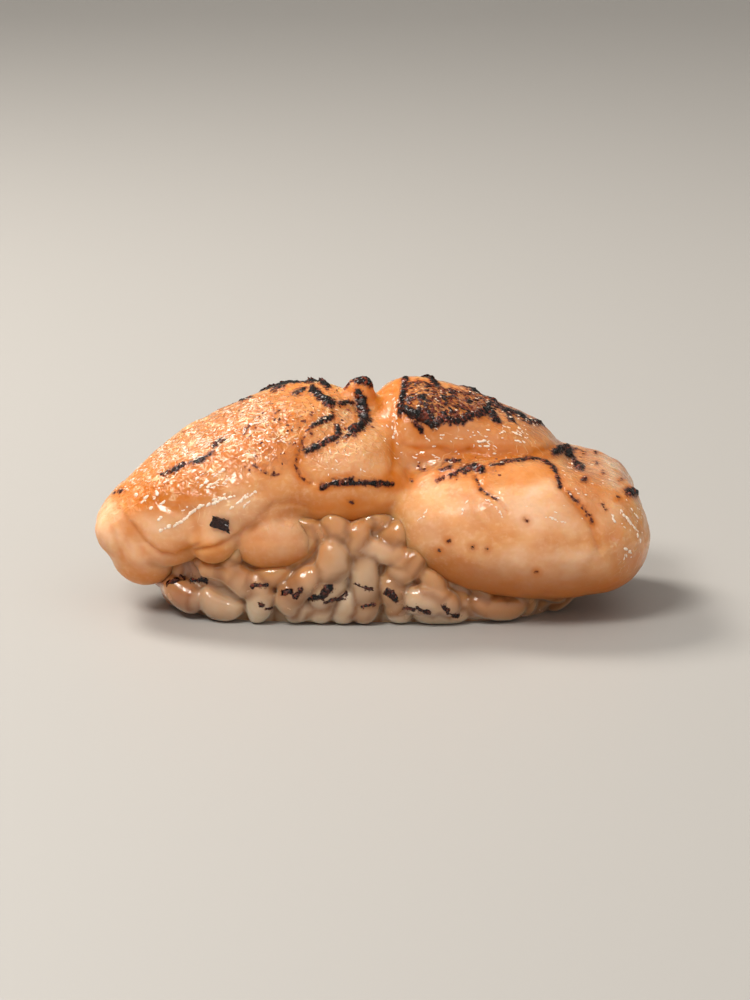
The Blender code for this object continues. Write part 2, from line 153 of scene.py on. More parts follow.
# Char as the photo shows it: half width in pixels, how red its flakes are, and its line.
CHAR = {
    "centre_flake_tip": (3.6, 0.1, ((358, 392), (361, 400))),
    "centre_flake": (5.8, 0.1, ((361, 400), (363, 409), (364, 417))),
    "centre_flake_low": (5.6, 0.1, ((365, 420), (360, 427), (353, 431))),
    "centre_flake_foot": (2.6, 0.1, ((356, 431), (346, 437))),
    "centre_tick": (2.2, 0.1, ((340, 404), (352, 403))),
    "nub_cap": (4.2, 0.1, ((357, 380), (366, 380), (375, 385))),
    "nub_edge": (1.4, 0.8, ((346, 389), (350, 382), (356, 379))),
    "bib_edge": (1.2, 0.9, ((304, 440), (298, 452), (295, 466), (300, 477), (309, 483))),
    "low_crumbs": (1.3, 0.9, ((253, 465), (262, 471), (272, 476), (280, 474))),
    "left_flake": (4.4, 0.1, ((313, 391), (322, 398), (331, 405))),
    "left_dash": (2.8, 0.3, ((295, 394), (305, 390))),
    "top_left_lump": (3.2, 0.1, ((303, 382), (314, 381))),
    "top_left_dash": (2.4, 0.1, ((273, 389), (284, 387))),
    "far_left_dash": (2.4, 0.1, ((239, 399), (250, 397))),
    "thin_left": (1.2, 0.5, ((249, 426), (243, 436))),
    "high_bar": (3.0, 0.1, ((318, 423), (331, 418))),
    "high_bar_low": (2.2, 0.4, ((307, 431), (314, 425))),
    "bar": (3.2, 0.3, ((338, 427), (338, 437), (330, 441), (318, 446), (306, 452))),
    "bar_tail": (1.6, 0.8, ((303, 439), (306, 435))),
    "front_line": (2.6, 0.1, ((321, 487), (333, 483), (347, 483), (373, 483), (393, 484))),
    "front_line_high": (1.7, 0.7, ((340, 480), (348, 478), (360, 481))),
    "edge_low": (2.2, 0.5, ((163, 475), (170, 472))),
    "edge_mid": (2.8, 0.3, ((174, 471), (184, 464))),
    "edge_long": (2.4, 0.1, ((191, 464), (201, 460), (212, 453))),
    "edge_high": (2.6, 0.5, ((214, 446), (223, 439))),
    "corner": (2.2, 0.8, ((114, 492), (122, 491))),
    "patch_left": (3.6, 0.25, ((405, 379), (403, 394), (400, 412))),
    "patch_corner": (4.8, 0.1, ((401, 406), (410, 413), (420, 414))),
    "patch_low": (4.2, 0.25, ((410, 414), (424, 420), (433, 426), (441, 419), (459, 421))),
    "patch_low_right": (3.8, 0.1, ((459, 421), (470, 416), (488, 411), (498, 421))),
    "patch_top": (1.8, 0.5, ((418, 381), (444, 389), (469, 394), (499, 407))),
    "patch_drip": (2.8, 0.7, ((414, 421), (422, 431))),
    "top_line": (2.6, 0.1, ((499, 407), (520, 415), (528, 421), (550, 424))),
    "fold_dot_a": (2.4, 0.9, ((411, 481), (412, 481))),
    "fold_dot_b": (2.2, 0.9, ((422, 470), (425, 469))),
    "fold_dot_c": (2.6, 0.9, ((438, 480), (443, 478))),
    "fold_bar": (2.4, 0.8, ((446, 460), (460, 461))),
    "fold_bar_low": (2.6, 0.9, ((442, 470), (450, 467))),
    "fold_bar_mid": (2.8, 0.8, ((450, 476), (458, 472))),
    "fold_lump": (4.2, 0.5, ((464, 471), (474, 467), (482, 470))),
    "fold_line": (2.2, 0.3, ((490, 466), (500, 464), (508, 461), (527, 459), (536, 459))),
    "fold_line_end": (2.0, 0.3, ((536, 459), (546, 462), (554, 469), (558, 480), (560, 486))),
    "fold_tail": (1.2, 0.7, ((568, 492), (572, 497), (578, 503))),
    "fold_tail_low": (1.3, 0.7, ((582, 508), (589, 515), (593, 523))),
    "crack": (1.6, 0.4, ((476, 477), (479, 485), (482, 490))),
    "crack_low": (0.9, 0.6, ((484, 492), (490, 496), (496, 499))),
    "right_flake": (4.4, 0.1, ((556, 452), (566, 446), (570, 456))),
    "right_flake_low": (3.2, 0.4, ((570, 456), (575, 463), (582, 469))),
    "right_thread": (0.9, 0.7, ((567, 445), (578, 450), (586, 452))),
    "right_edge": (4.2, 0.1, ((629, 492), (640, 492))),
    "right_dot_a": (2.2, 0.6, ((582, 481), (586, 479))),
    "right_dot_b": (1.8, 0.7, ((617, 497), (619, 497))),
    "right_dot_c": (1.2, 0.6, ((602, 504), (606, 511))),
    "right_dot_d": (1.5, 0.7, ((594, 452), (598, 452))),
    "right_dot_e": (1.3, 0.7, ((602, 472), (604, 473))),
    "right_dot_f": (1.4, 0.6, ((621, 479), (622, 479))),
    "right_dot_g": (1.2, 0.7, ((596, 463), (597, 464))),
    "fleck_front": (1.0, 0.1, ((350, 501), (352, 503))),
    "fleck_right": (0.6, 0.8, ((525, 519), (528, 522))),
    "speck_a": (0.5, 0.1, ((439, 551), (440, 551))),
    "speck_b": (0.4, 0.1, ((448, 541), (449, 541))),
    "speck_c": (0.4, 0.1, ((472, 547), (473, 547))),
    "speck_d": (0.5, 0.1, ((487, 549), (488, 549))),
    "speck_e": (0.3, 0.1, ((536, 572), (537, 572))),
}
# Char on the back, in the pixels of the same camera seen from behind.
BACK_CHAR = {
    "back_left_bar": (3.4, 0.3, ((220, 412), (256, 424), (285, 421))),
    "back_left_flake": (4.6, 0.3, ((313, 400), (330, 418))),
    "back_line": (2.8, 0.3, ((394, 438), (435, 441), (475, 450))),
    "back_flake": (5.0, 0.3, ((424, 396), (442, 410))),
    "back_patch": (4.2, 0.3, ((455, 404), (480, 412), (492, 424))),
    "back_right_bar": (2.6, 0.3, ((515, 437), (550, 456))),
    "back_low_dash": (2.0, 0.3, ((290, 460), (304, 452))),
}
# Half the width in pixels of a char stroke whose edge strays the most.
MOST_RAGGED = 2.2
# Half the width in pixels past which the flakes of a stroke lie across it.
BROAD_STROKE = 2.3
# How well the skin has to face the eye, from 0 to 1, to take what is marked on the photo.
SHOWN = 0.3
# The depth in char, in millimetres, of places far from any, and the least in the patch.
NO_CHAR = -3.0
PATCH_CHAR = -0.12
# The patch of crust between the char lines at the upper right: its corners, and how many
# crumbs lie on it.
PATCH = ((406, 380), (446, 388), (497, 407), (494, 412), (460, 420), (433, 423), (403, 410))
PATCH_CRUMBS = 330
# The square chip of charcoal on the left front: its corners, how many steps its sides have,
# and how far its faces and its turned-up sides are off the flesh.
TILE = ((214, 516), (229, 520), (228, 532), (211, 526))
TILE_STEPS = 9
TILE_TOP = 0.42
TILE_FOOT = -0.15
TILE_CURL = 0.35
# How flat a flake, crumb or bead is beside its width.
SPOT_FLAT = 0.5

# Oval zones as the photo shows them: middle and half size in pixels, then strength.
SEARED_ZONES = {
    "patch": ((448, 402), (50, 20), 1.0),
    "left_top": ((285, 420), (50, 30), 0.45),
    "left_spots": ((262, 460), (34, 16), 0.4),
    "centre_top": ((340, 415), (40, 30), 0.35),
    "fold": ((460, 468), (56, 12), 0.5),
    "right_top": ((580, 456), (26, 16), 0.4),
    "top_right_edge": ((520, 408), (40, 14), 0.4),
}
# Amber glaze, and painted shade: in the groove, at the foot of the bib and at the feet of the flesh
# the amber is painted shade.
GLAZE_AND_SHADE_ZONES = {
    "left_band": ((165, 490), (60, 28), 1.0),
    "left_high": ((236, 428), (96, 52), 1.0),
    "left_slope": ((170, 466), (60, 26), 0.9),
    "groove": ((394, 432), (13, 46), 0.7),
    "groove_foot": ((398, 480), (26, 14), 0.8),
    "valley": ((480, 452), (100, 12), 0.95),
    "tier_face": ((490, 432), (90, 24), 0.55),
    "groove_top": ((390, 402), (28, 30), 1.0),
    "lobe_top": ((500, 474), (74, 14), 0.5),
    "right_side": ((584, 486), (26, 40), 0.6),
    "right_foot": ((630, 570), (24, 30), 0.5),
    "left_foot": ((190, 556), (60, 16), 0.3),
    "bib_foot": ((352, 512), (46, 18), 0.6),
}
WET_ZONES = {
    "left_front": ((205, 495), (80, 40), 1.0),
    "left_top": ((215, 430), (100, 60), 1.0),
    "centre": ((350, 440), (60, 50), 0.8),
    "groove": ((396, 440), (30, 50), 0.25),
    "tier": ((500, 425), (80, 36), 0.9),
    "valley": ((470, 458), (100, 16), 1.0),
    "right_side": ((590, 475), (40, 40), 0.9),
    "right_end": ((628, 540), (24, 44), 1.0),
    "lobe_crack": ((494, 500), (20, 26), 0.6),
}
PALE_ZONES = {
    "front_lobe": ((556, 508), (62, 34), 0.9),
    "front_lobe_left": ((448, 520), (44, 44), 0.4),
    "front_lobe_low": ((540, 566), (80, 26), 0.9),
    "left_end": ((112, 530), (16, 44), 0.9),
    "left_lumps": ((200, 520), (80, 34), 0.8),
    "left_low": ((152, 552), (40, 24), 0.9),
    "bib": ((345, 458), (40, 20), 0.2),
    "tongue": ((276, 538), (46, 22), 0.8),
    "right_top": ((612, 466), (34, 26), 1.0),
}
# Painted shade: flesh coloured darker and browner where shade falls, on the tongue, under the
# middle, on the tier's face and in the valley.
PAINTED_SHADE_ZONES = {
    "tongue": ((280, 548), (52, 30), 0.3),
    "under_centre": ((310, 505), (60, 14), 0.35),
    "tier_face": ((470, 434), (70, 14), 0.3),
    "valley": ((480, 452), (90, 9), 0.35),
}
# Folds and cuts as the photo shows them: half width in pixels, depth, how far the side on
# the left of the line's run stands over the other, then the line. The depth also sets how
# strongly each fold is painted amber as shade.
FOLDS = {
    "left_low": (3.6, 0.30, 0.38, ((133, 524), (146, 541), (162, 552), (175, 554), (189, 547))),
    "left_mid": (3.4, 0.26, 0.38, ((196, 549), (205, 547), (217, 544), (229, 538), (243, 528))),
    "left_rise": (4.4, 0.20, 0.0, ((190, 512), (197, 528), (198, 546))),
    "left_round": (4.4, 0.16, 0.12, ((250, 530), (266, 516), (271, 502), (262, 486))),
    "left_high": (5.0, 0.10, 0.0, ((232, 476), (262, 489), (290, 503), (318, 508))),
    "end_face": (4.0, 0.14, 0.0, ((116, 494), (121, 510), (129, 532), (140, 548), (152, 562))),
    "end_corner": (2.4, 0.10, 0.0, ((105, 508), (109, 524), (117, 546), (127, 566))),
    "end_fibre": (2.0, 0.07, 0.0, ((112, 502), (119, 524), (131, 552))),
    "bib_left": (3.0, 0.20, -0.25, ((300, 448), (298, 466), (312, 482))),
    "groove": (3.0, 0.20, 0.0, ((393, 390), (395, 420), (394, 450), (393, 482))),
    "lobe_cut": (2.4, 0.08, 0.0, ((474, 500), (474, 516), (484, 528), (499, 541))),
    "lobe_crack": (1.4, 0.22, 0.0, ((476, 477), (480, 487), (486, 494), (500, 502), (508, 512))),
    "lobe_crescent": (3.4, 0.06, 0.02, ((500, 512), (520, 526), (548, 534), (578, 548))),
    "lobe_low": (4.4, 0.05, 0.02, ((486, 560), (504, 552), (530, 556), (560, 570))),
    "valley": (2.8, 0.24, 0.04, ((404, 445), (420, 450), (437, 448), (453, 455), (470, 451))),
    "valley_right": (2.4, 0.20, 0.0, ((470, 451), (489, 457), (508, 452), (527, 456), (551, 447))),
    "tongue_top": (2.6, 0.14, 0.08, ((260, 515), (274, 505), (292, 503), (308, 508), (315, 521))),
    "tongue_cut": (2.6, 0.06, 0.0, ((238, 545), (255, 539), (276, 541), (298, 537), (313, 531))),
    "right_side": (3.0, 0.25, 0.2, ((560, 486), (574, 500), (592, 524), (600, 548))),
}
# Where the flesh shows its bundles of muscle, with soft creases between them, as oval
# zones, and how large a bundle is. The creases are sunk in relief and also painted amber as
# shade.
BUNDLE_ZONES = {
    "left_front": ((210, 512), (90, 44), 0.8),
    "left_end": ((128, 545), (30, 40), 0.7),
    "bib": ((340, 500), (60, 26), 0.4),
    "lobe": ((500, 540), (110, 56), 0.12),
    "right_end": ((620, 520), (30, 60), 0.5),
}
BUNDLE_SIZE = 4.6
# Low swellings: middle and radius in pixels, and height.
BULGES = {
    "left_low": ((168, 534), 24, 0.45),
    "left_mid": ((214, 526), 20, 0.40),
    "left_foot": ((142, 562), 18, 0.35),
    "left_round": ((238, 506), 26, 0.30),
    "bib": ((350, 456), 26, 0.25),
    "lobe_left": ((440, 520), 34, 0.25),
    "lobe_right": ((556, 500), 40, 0.22),
}

# Beads of wet glaze, coloured almost white as painted highlights where they would catch the
# light: middle and half size of their oval zone in pixels, how many to try, and their lean in
# degrees.
BEADS = {
    "net_foot": ((132, 484), (18, 10), 60, -32),
    "net_low": ((154, 464), (24, 15), 190, -32),
    "net_mid_low": ((181, 447), (25, 17), 210, -30),
    "net_mid": ((211, 430), (25, 17), 210, -30),
    "net_high": ((246, 411), (32, 15), 190, -18),
    "left_spots": ((268, 434), (34, 26), 120, 20),
    "left_front": ((148, 493), (20, 10), 16, 10),
    "left_rise": ((212, 481), (16, 10), 18, -30),
    "centre": ((345, 454), (42, 24), 46, 60),
    "centre_high": ((330, 420), (28, 18), 30, 30),
    "groove": ((394, 420), (12, 36), 60, 80),
    "tier": ((478, 438), (80, 12), 70, 10),
    "tier_high": ((515, 424), (30, 14), 44, 20),
    "valley": ((450, 458), (70, 8), 40, 5),
    "patch": ((446, 400), (44, 15), 60, 20),
    "right_side": ((580, 478), (20, 26), 34, 60),
    "right_top": ((606, 472), (24, 18), 34, 30),
    "right_end": ((630, 530), (14, 34), 34, 70),
    "lobe": ((562, 506), (40, 16), 20, 15),
}
# Single streaks of glaze beads, coloured almost white as painted highlights: half width in
# pixels and line.
STREAKS = {
    "low_a": (2.0, ((159, 531), (171, 525))),
    "low_b": (1.8, ((174, 526), (187, 518))),
    "low_c": (1.9, ((187, 516), (195, 510), (203, 505))),
    "low_d": (1.4, ((182, 511), (188, 507))),
    "long": (1.7, ((206, 506), (220, 500), (234, 496))),
    "long_high": (1.3, ((214, 500), (226, 494))),
    "zig_a": (1.5, ((231, 508), (242, 500))),
    "zig_b": (1.4, ((239, 503), (248, 492))),
    "zig_c": (1.4, ((245, 498), (257, 491))),
    "zig_d": (1.3, ((244, 506), (252, 499))),
    "spot_a": (2.4, ((134, 494), (138, 496))),
    "spot_b": (1.8, ((141, 503), (146, 497))),
    "spot_c": (2.2, ((155, 491), (158, 494))),
    "spot_d": (1.9, ((149, 509), (152, 507))),
    "spot_e": (1.9, ((161, 504), (165, 501))),
    "spot_f": (2.0, ((158, 520), (161, 518))),
    "spot_g": (1.5, ((164, 482), (168, 480))),
    "rise_a": (1.7, ((199, 488), (208, 481))),
    "rise_b": (1.6, ((206, 489), (219, 480))),
    "rise_c": (1.5, ((213, 476), (225, 469))),
    "rise_d": (1.4, ((222, 484), (230, 478))),
    "rise_e": (1.3, ((196, 479), (203, 474))),
    "end_a": (1.7, ((628, 520), (636, 530), (640, 542))),
    "end_b": (1.8, ((621, 511), (628, 520))),
    "end_c": (2.0, ((625, 548), (631, 553))),
    "end_d": (1.6, ((612, 514), (616, 524))),
    "end_e": (1.6, ((632, 508), (638, 518))),
    "lobe_a": (1.1, ((416, 522), (424, 516), (427, 508))),
    "lobe_b": (1.1, ((548, 516), (558, 521), (566, 523))),
    "lobe_c": (1.1, ((462, 514), (463, 506), (468, 500))),
    "lobe_d": (1.0, ((486, 500), (496, 507), (503, 518))),
    "groove_a": (1.3, ((394, 398), (396, 406))),
    "groove_b": (1.3, ((392, 412), (398, 420))),
    "groove_c": (1.2, ((396, 428), (393, 438))),
    "tier_a": (1.4, ((476, 442), (488, 440))),
    "tier_b": (1.3, ((480, 446), (492, 446))),
    "tier_c": (1.5, ((510, 430), (522, 436))),
    "tier_d": (1.4, ((512, 440), (524, 442))),
}

# Grains that stand out at the front: middle in pixels, lean from level in degrees, then
# length and width in millimetres.
FRONT_GRAINS = {
    "white_upright": ((261, 598), 90, 6.6, 3.4),
    "high_slanted": ((336, 526), -55, 4.8, 3.3),
    "high_upright": ((334, 560), 80, 5.8, 4.4),
    "mid_upright": ((365, 575), 90, 7.0, 3.4),
    "mid_left": ((291, 595), 70, 4.8, 3.7),
    "foot_left": ((301, 611), 20, 4.4, 3.0),
    "foot_mid_left": ((324, 612), 60, 4.4, 3.0),
    "foot_mid": ((347, 609), 80, 4.8, 3.2),
    "foot_mid_right": ((367, 610), 70, 4.6, 3.0),
    "right_upright": ((393, 589), 100, 4.8, 3.1),
    "foot_right_upright": ((398, 612), 90, 4.6, 3.4),
    "high_level": ((384, 551), -15, 6.2, 2.8),
    "foot_right_level": ((441, 611), 0, 6.8, 2.7),
    "right_long": ((431, 597), -8, 7.6, 3.9),
    "right_slanted": ((434, 580), -60, 4.4, 2.8),
    "lobe_foot_long": ((495, 604), -12, 7.6, 3.4),
    "end_level": ((537, 612), 5, 6.8, 2.8),
    "end_small": ((560, 606), 12, 5.6, 2.8),
    "left_high": ((223, 567), -10, 5.6, 2.9),
    "left_foot_long": ((223, 605), -12, 5.8, 3.6),
    "far_left_long": ((188, 590), -15, 6.2, 3.9),
    "left_slanted": ((240, 576), -35, 5.5, 3.5),
    "inner_left": ((305, 580), 40, 5.2, 3.6),
    "inner_high": ((358, 540), 100, 5.2, 3.4),
    "inner_mid": ((328, 588), 50, 5.2, 3.4),
}
# Char flecks on the rice, as char strokes are given.
RICE_FLECKS = {
    "left_high": (2.0, 0.2, ((251, 586), (267, 585))),
    "left_low": (1.6, 0.3, ((259, 604), (264, 606))),
    "left_dot": (1.5, 0.3, ((268, 609), (271, 608))),
    "mid_left": (3.0, 0.2, ((284, 593), (290, 591))),
    "mid_left_bar": (2.4, 0.2, ((296, 597), (301, 589))),
    "middle": (2.2, 0.1, ((309, 599), (320, 597))),
    "middle_lump": (4.2, 0.1, ((322, 596), (329, 588))),
    "middle_low": (1.8, 0.2, ((324, 603), (334, 599), (344, 599))),
    "middle_arm": (1.6, 0.3, ((338, 600), (346, 592))),
    "mid_right": (1.8, 0.3, ((355, 584), (362, 587), (373, 590))),
    "mid_right_low": (1.3, 0.3, ((361, 607), (376, 604))),
    "grain_tip": (3.6, 0.1, ((388, 592), (396, 599))),
    "right_a": (1.6, 0.3, ((404, 608), (414, 609))),
    "right_a_end": (2.2, 0.2, ((417, 608), (429, 613))),
    "right_b": (2.6, 0.2, ((444, 606), (448, 613))),
    "right_b_end": (1.4, 0.3, ((450, 614), (459, 616))),
    "stain_left": (2.0, 0.3, ((168, 583), (177, 580))),
    "stain_dot": (1.6, 0.3, ((180, 575), (184, 578))),
    "stain_right": (2.2, 0.2, ((191, 580), (206, 581))),
}

# Colours, from 0 to 255 as a screen shows them.
FLESH = (230, 166, 106)
FLESH_DARK = (214, 140, 80)
PALE = (242, 202, 166)
# Amber of the glaze, also used as painted shade in creases, folds, recesses and low down.
GLAZE_AMBER_AND_SHADE = (206, 111, 12)
# Painted shade, for the undersides and recesses of the flesh.
PAINTED_SHADE_BROWN = (172, 96, 40)
SEAR = (150, 78, 44)
CHAR_BROWN = (98, 42, 24)
CHAR_BLACK = (10, 8, 8)
EMBER = (132, 54, 30)
# Painted highlight: the near-white of the beads of glaze.
PAINTED_GLINT_WHITE = (255, 246, 232)
# Painted highlight: the gold of the glints painted on the wet flesh.
PAINTED_GLINT_GOLD = (255, 228, 176)
RICE_GLASSY = (196, 152, 112)
RICE_MILKY = (246, 226, 198)
RICE_CLOUD = (206, 164, 124)
# Amber near the flesh: juice soaked into the rice, and a painted glow of light through the flesh.
RICE_SOAK_AND_GLOW = (218, 150, 88)
# Painted shade in the seams between grains and low down.
RICE_SEAM_SHADE = (150, 94, 50)
# Painted sheen at the rims of the grains.
RICE_PAINTED_SHEEN = (250, 232, 206)
RICE_STAIN = (150, 74, 30)
FLOOR_GREY = (178, 175, 171)

# The stage, in metres: the level floor, the sweep that it curves up in, and the wall's top.
FLOOR_FRONT = -1.2
FLOOR_SIDE = 2
SWEEP_FROM = 0.5
SWEEP_RADIUS = 0.4
SWEEP_STEPS = 12
WALL_TOP = 1.6
WORLD_COLOUR = (1.0, 0.96, 0.9, 1)
WORLD_STRENGTH = 0.22
# The lights: place, power in watts, size and colour. All aim at the middle of the object.
LIT_PLACE = (0, 0, 0.014)
LIGHTS = {
    "key_from_behind": ((-0.24, 0.22, 0.36), 2.1, 0.15, (1.0, 0.95, 0.88)),
    "glint": ((-0.22, -0.30, 0.46), 2.2, 0.20, (1.0, 0.97, 0.92)),
    "soft_top": ((0.08, -0.05, 0.75), 1.5, 1.2, (1.0, 0.97, 0.93)),
    "soft_front": ((0.42, -0.80, 0.48), 3.6, 1.6, (1.0, 0.95, 0.88)),
}


def linear(rgb):
    """An sRGB colour, 0 to 255, as the linear colour that a shader takes."""
    shares = [c / 255 for c in rgb]
    values = [s / 12.92 if s <= 0.04045 else ((s + 0.055) / 1.055) ** 2.4 for s in shares]
    return (*values, 1)


# Shapes as distances.


def lobe_gap(points, at, half, square=2.0, tip=0.0):
    """About how far each point is outside one rounded lobe."""
    turn = np.array(Euler((0, math.radians(tip), 0), "XYZ").to_matrix())
    local = np.abs((points - np.array(at)) @ turn) / np.array(half)
    reach = (local**square).sum(axis=1) ** (1 / square)
    slope = (local / reach[:, None]) ** (square - 1) / np.array(half)
    return (reach - 1) / np.linalg.norm(slope, axis=1)


def soft_least(a, b, blend):
    """The smaller of two distances, rounded over blend where they are near each other."""
    share = np.clip(0.5 + 0.5 * (b - a) / blend, 0, 1)
    return b + (a - b) * share - blend * share * (1 - share)


def flesh_gap(points):
    """About how far each point is outside the flesh."""
    gap = None
    for lobe in LOBES.values():
        form = {key: lobe[key] for key in lobe if key != "blend"}
        one = lobe_gap(points, **form)
        gap = one if gap is None else soft_least(gap, one, lobe["blend"])
    return gap


def core_gap(points):
    """About how far each point is outside the rice core."""
    return lobe_gap(points, CORE_AT, CORE_HALF, CORE_SQUARE)


def crossings(starts, rays, gap_of, near, far, steps=24):
    """Where each ray, inside at near and outside at far, crosses the skin of gap_of."""
    near = np.full(len(rays), float(near))
    far = np.full(len(rays), float(far))
    for _ in range(steps):
        middle = (near + far) / 2
        inside = gap_of(starts + rays * middle[:, None]) < 0
        near = np.where(inside, middle, near)
        far = np.where(inside, far, middle)
    return starts + rays * near[:, None]


def outward(points, gap_of, step=0.05):
    """The unit directions in which gap_of grows fastest."""
    shifts = np.eye(3) * step
    slopes = np.stack([gap_of(points + s) - gap_of(points - s) for s in shifts], axis=1)
    return slopes / np.linalg.norm(slopes, axis=1)[:, None]


def ramp(values, low, high):
    """0 at low and 1 at high, and smooth between them."""
    share = np.clip((values - low) / (high - low), 0, 1)
    return share * share * (3 - 2 * share)


def noise_offset(seed):
    """Where in the noise a pattern of this seed starts."""
    return Vector((seed * 17.3, seed * 5.1, seed * 9.7))


def noise_at(points, size, seed=0.0):
    """Smooth noise from -1 to 1 whose lumps are about so many millimetres across."""
    offset = noise_offset(seed)
    return np.array([noise.noise(Vector(p) / size + offset) for p in points])


def ridges_at(points, size, seed=0.0):
    """1 along the walls between cells of about this size, and 0 inside them."""
    offset = noise_offset(seed)
    bent = points + 0.7 * size * noise_at(points, 1.4 * size, seed + 1)[:, None] * (1, -0.6, 0.8)
    near = [noise.voronoi(Vector(p) / size + offset)[0] for p in bent]
    return 1 - ramp(np.array([n[1] - n[0] for n in near]), 0.0, 0.35)


# The photo's camera, and what is marked on the photo.


def eye_axes(behind=False):
    """The camera's place, and its right, up and backward directions."""
    tilt = math.radians(EYE_TILT)
    side = -1 if behind else 1
    back = np.array((0, -side * math.cos(tilt), math.sin(tilt)))
    right = np.array((side, 0, 0))
    up = np.array((0, side * math.sin(tilt), math.cos(tilt)))
    return np.array(AIM) + back * EYE_AWAY, right, up, back


def photo_places(points, behind=False):
    """The photo's pixel at which each point shows."""
    eye, right, up, back = eye_axes(behind)
    away = points - eye
    scale = PIXELS_PER_MM * EYE_AWAY / (away @ -back)
    across = PHOTO_SIZE[0] / 2 + (away @ right) * scale
    down = PHOTO_SIZE[1] / 2 - (away @ up) * scale
    return np.stack([across, down], axis=1)


def photo_rays(pixels, behind=False):
    """The camera's place, and the direction of each pixel from it."""
    eye, right, up, back = eye_axes(behind)
    across = (pixels[:, 0] - PHOTO_SIZE[0] / 2) / (PIXELS_PER_MM * EYE_AWAY)
    down = (pixels[:, 1] - PHOTO_SIZE[1] / 2) / (PIXELS_PER_MM * EYE_AWAY)
    rays = np.outer(across, right) - np.outer(down, up) - back
    return eye, rays / np.linalg.norm(rays, axis=1)[:, None]


def facing(out, points, behind=False):
    """How well the skin shows to the eye, from 0 at its edge to 1."""
    away = eye_axes(behind)[0] - points
    away /= np.linalg.norm(away, axis=1)[:, None]
    return ramp((away * out).sum(axis=1), 0.02, 0.14)


def line_distance(pixels, line):
    """How far each pixel is from a line of straight pieces."""
    least = np.full(len(pixels), 1e9)
    for start, end in zip(line, line[1:]):
        start, run = np.array(start, float), np.subtract(end, start).astype(float)
        share = np.clip(((pixels - start) @ run) / max(run @ run, 1e-6), 0, 1)
        least = np.minimum(least, np.linalg.norm(pixels - start - share[:, None] * run, axis=1))
    return least


def left_of(pixels, line):
    """Whether each pixel is on the left of the nearest piece of a line, as the line runs."""
    least = np.full(len(pixels), 1e9)
    left = np.zeros(len(pixels), bool)
    for start, end in zip(line, line[1:]):
        near = line_distance(pixels, (start, end))
        run = np.subtract(end, start)
        cross = run[0] * (pixels[:, 1] - start[1]) - run[1] * (pixels[:, 0] - start[0])
        left = np.where(near < least, cross < 0, left)
        least = np.minimum(least, near)
    return left


def in_zone(pixels, zones):
    """How strongly each pixel is in any of the oval zones, from 0 to 1."""
    most = np.zeros(len(pixels))
    for (x, y), (half_x, half_y), strength in zones.values():
        reach = np.hypot((pixels[:, 0] - x) / half_x, (pixels[:, 1] - y) / half_y)
        most = np.maximum(most, strength * (1 - ramp(reach, 0.45, 1.25)))
    return most


def in_patch(pixels):
    """Whether each pixel is inside the patch of crust."""
    inside = np.zeros(len(pixels), bool)
    for (x0, y0), (x1, y1) in zip(PATCH, PATCH[1:] + PATCH[:1]):
        crosses = (pixels[:, 1] < y0) != (pixels[:, 1] < y1)
        at = x0 + (pixels[:, 1] - y0) * (x1 - x0) / (y1 - y0 + 1e-9)
        inside ^= crosses & (pixels[:, 0] < at)
    return inside


def stray_at(pixels):
    """How far the edge of a char stroke strays at each pixel, as a share of its width."""
    return 0.9 * noise_at(np.column_stack([pixels, np.zeros(len(pixels))]), 6.0, 11)


def ragged(half_width, stray):
    """Half the width of a char stroke where its edge strays so far."""
    return half_width + min(half_width, MOST_RAGGED) * stray


def char_depth(pixels, strokes):
    """How deep each pixel is inside the char, in millimetres: below 0 is outside."""
    most = np.full(len(pixels), NO_CHAR)
    stray = stray_at(pixels)
    for half_width, ember, line in strokes.values():
        depth = (ragged(half_width, stray) - line_distance(pixels, line)) / PIXELS_PER_MM
        most = np.maximum(most, depth - 0.16 * ember)
    return most


# Mesh helpers.


def points_mm(verts):
    return np.array([v.co for v in verts]) / MM


def place_verts(verts, places):
    for vert, place in zip(verts, places):
        vert.co = Vector(place) * MM


def new_piece(name, bm, material=None):
    mesh = bpy.data.meshes.new(name)
    bm.to_mesh(mesh)
    bm.free()
    piece = bpy.data.objects.new(name, mesh)
    bpy.context.scene.collection.objects.link(piece)
    if material:
        mesh.materials.append(material)
    return piece


def apply_modifiers(piece):
    graph = bpy.context.evaluated_depsgraph_get()
    mesh = bpy.data.meshes.new_from_object(piece.evaluated_get(graph))
    piece.modifiers.clear()
    piece.data = mesh


def smooth(piece):
    piece.data.polygons.foreach_set("use_smooth", [True] * len(piece.data.polygons))


def paint(piece, name, values):
    """Keeps one number for each point of the piece, for its material."""
    layer = piece.data.attributes.new(name, "FLOAT", "POINT")
    layer.data.foreach_set("value", np.asarray(values, np.float32))


def tree_of(piece):
    """The piece's skin, for rays to meet."""
    return BVHTree.FromObject(piece, bpy.context.evaluated_depsgraph_get())


def even_ball(subdivisions):
    bm = bmesh.new()
    bmesh.ops.create_icosphere(bm, subdivisions=subdivisions, radius=1)
    return bm


def ball_pattern(segments, rings):
    """The points and faces of a unit ball, for copies of it."""
    bm = bmesh.new()
    bmesh.ops.create_uvsphere(bm, u_segments=segments, v_segments=rings, radius=1)
    points = [v.co.copy() for v in bm.verts]
    sides = [[v.index for v in f.verts] for f in bm.faces]
    bm.free()
    return points, sides


def add_copy(bm, points, sides):
    """Adds a copy of a pattern, with its points set here."""
    verts = [bm.verts.new(p) for p in points]
    for side in sides:
        bm.faces.new([verts[i] for i in side])


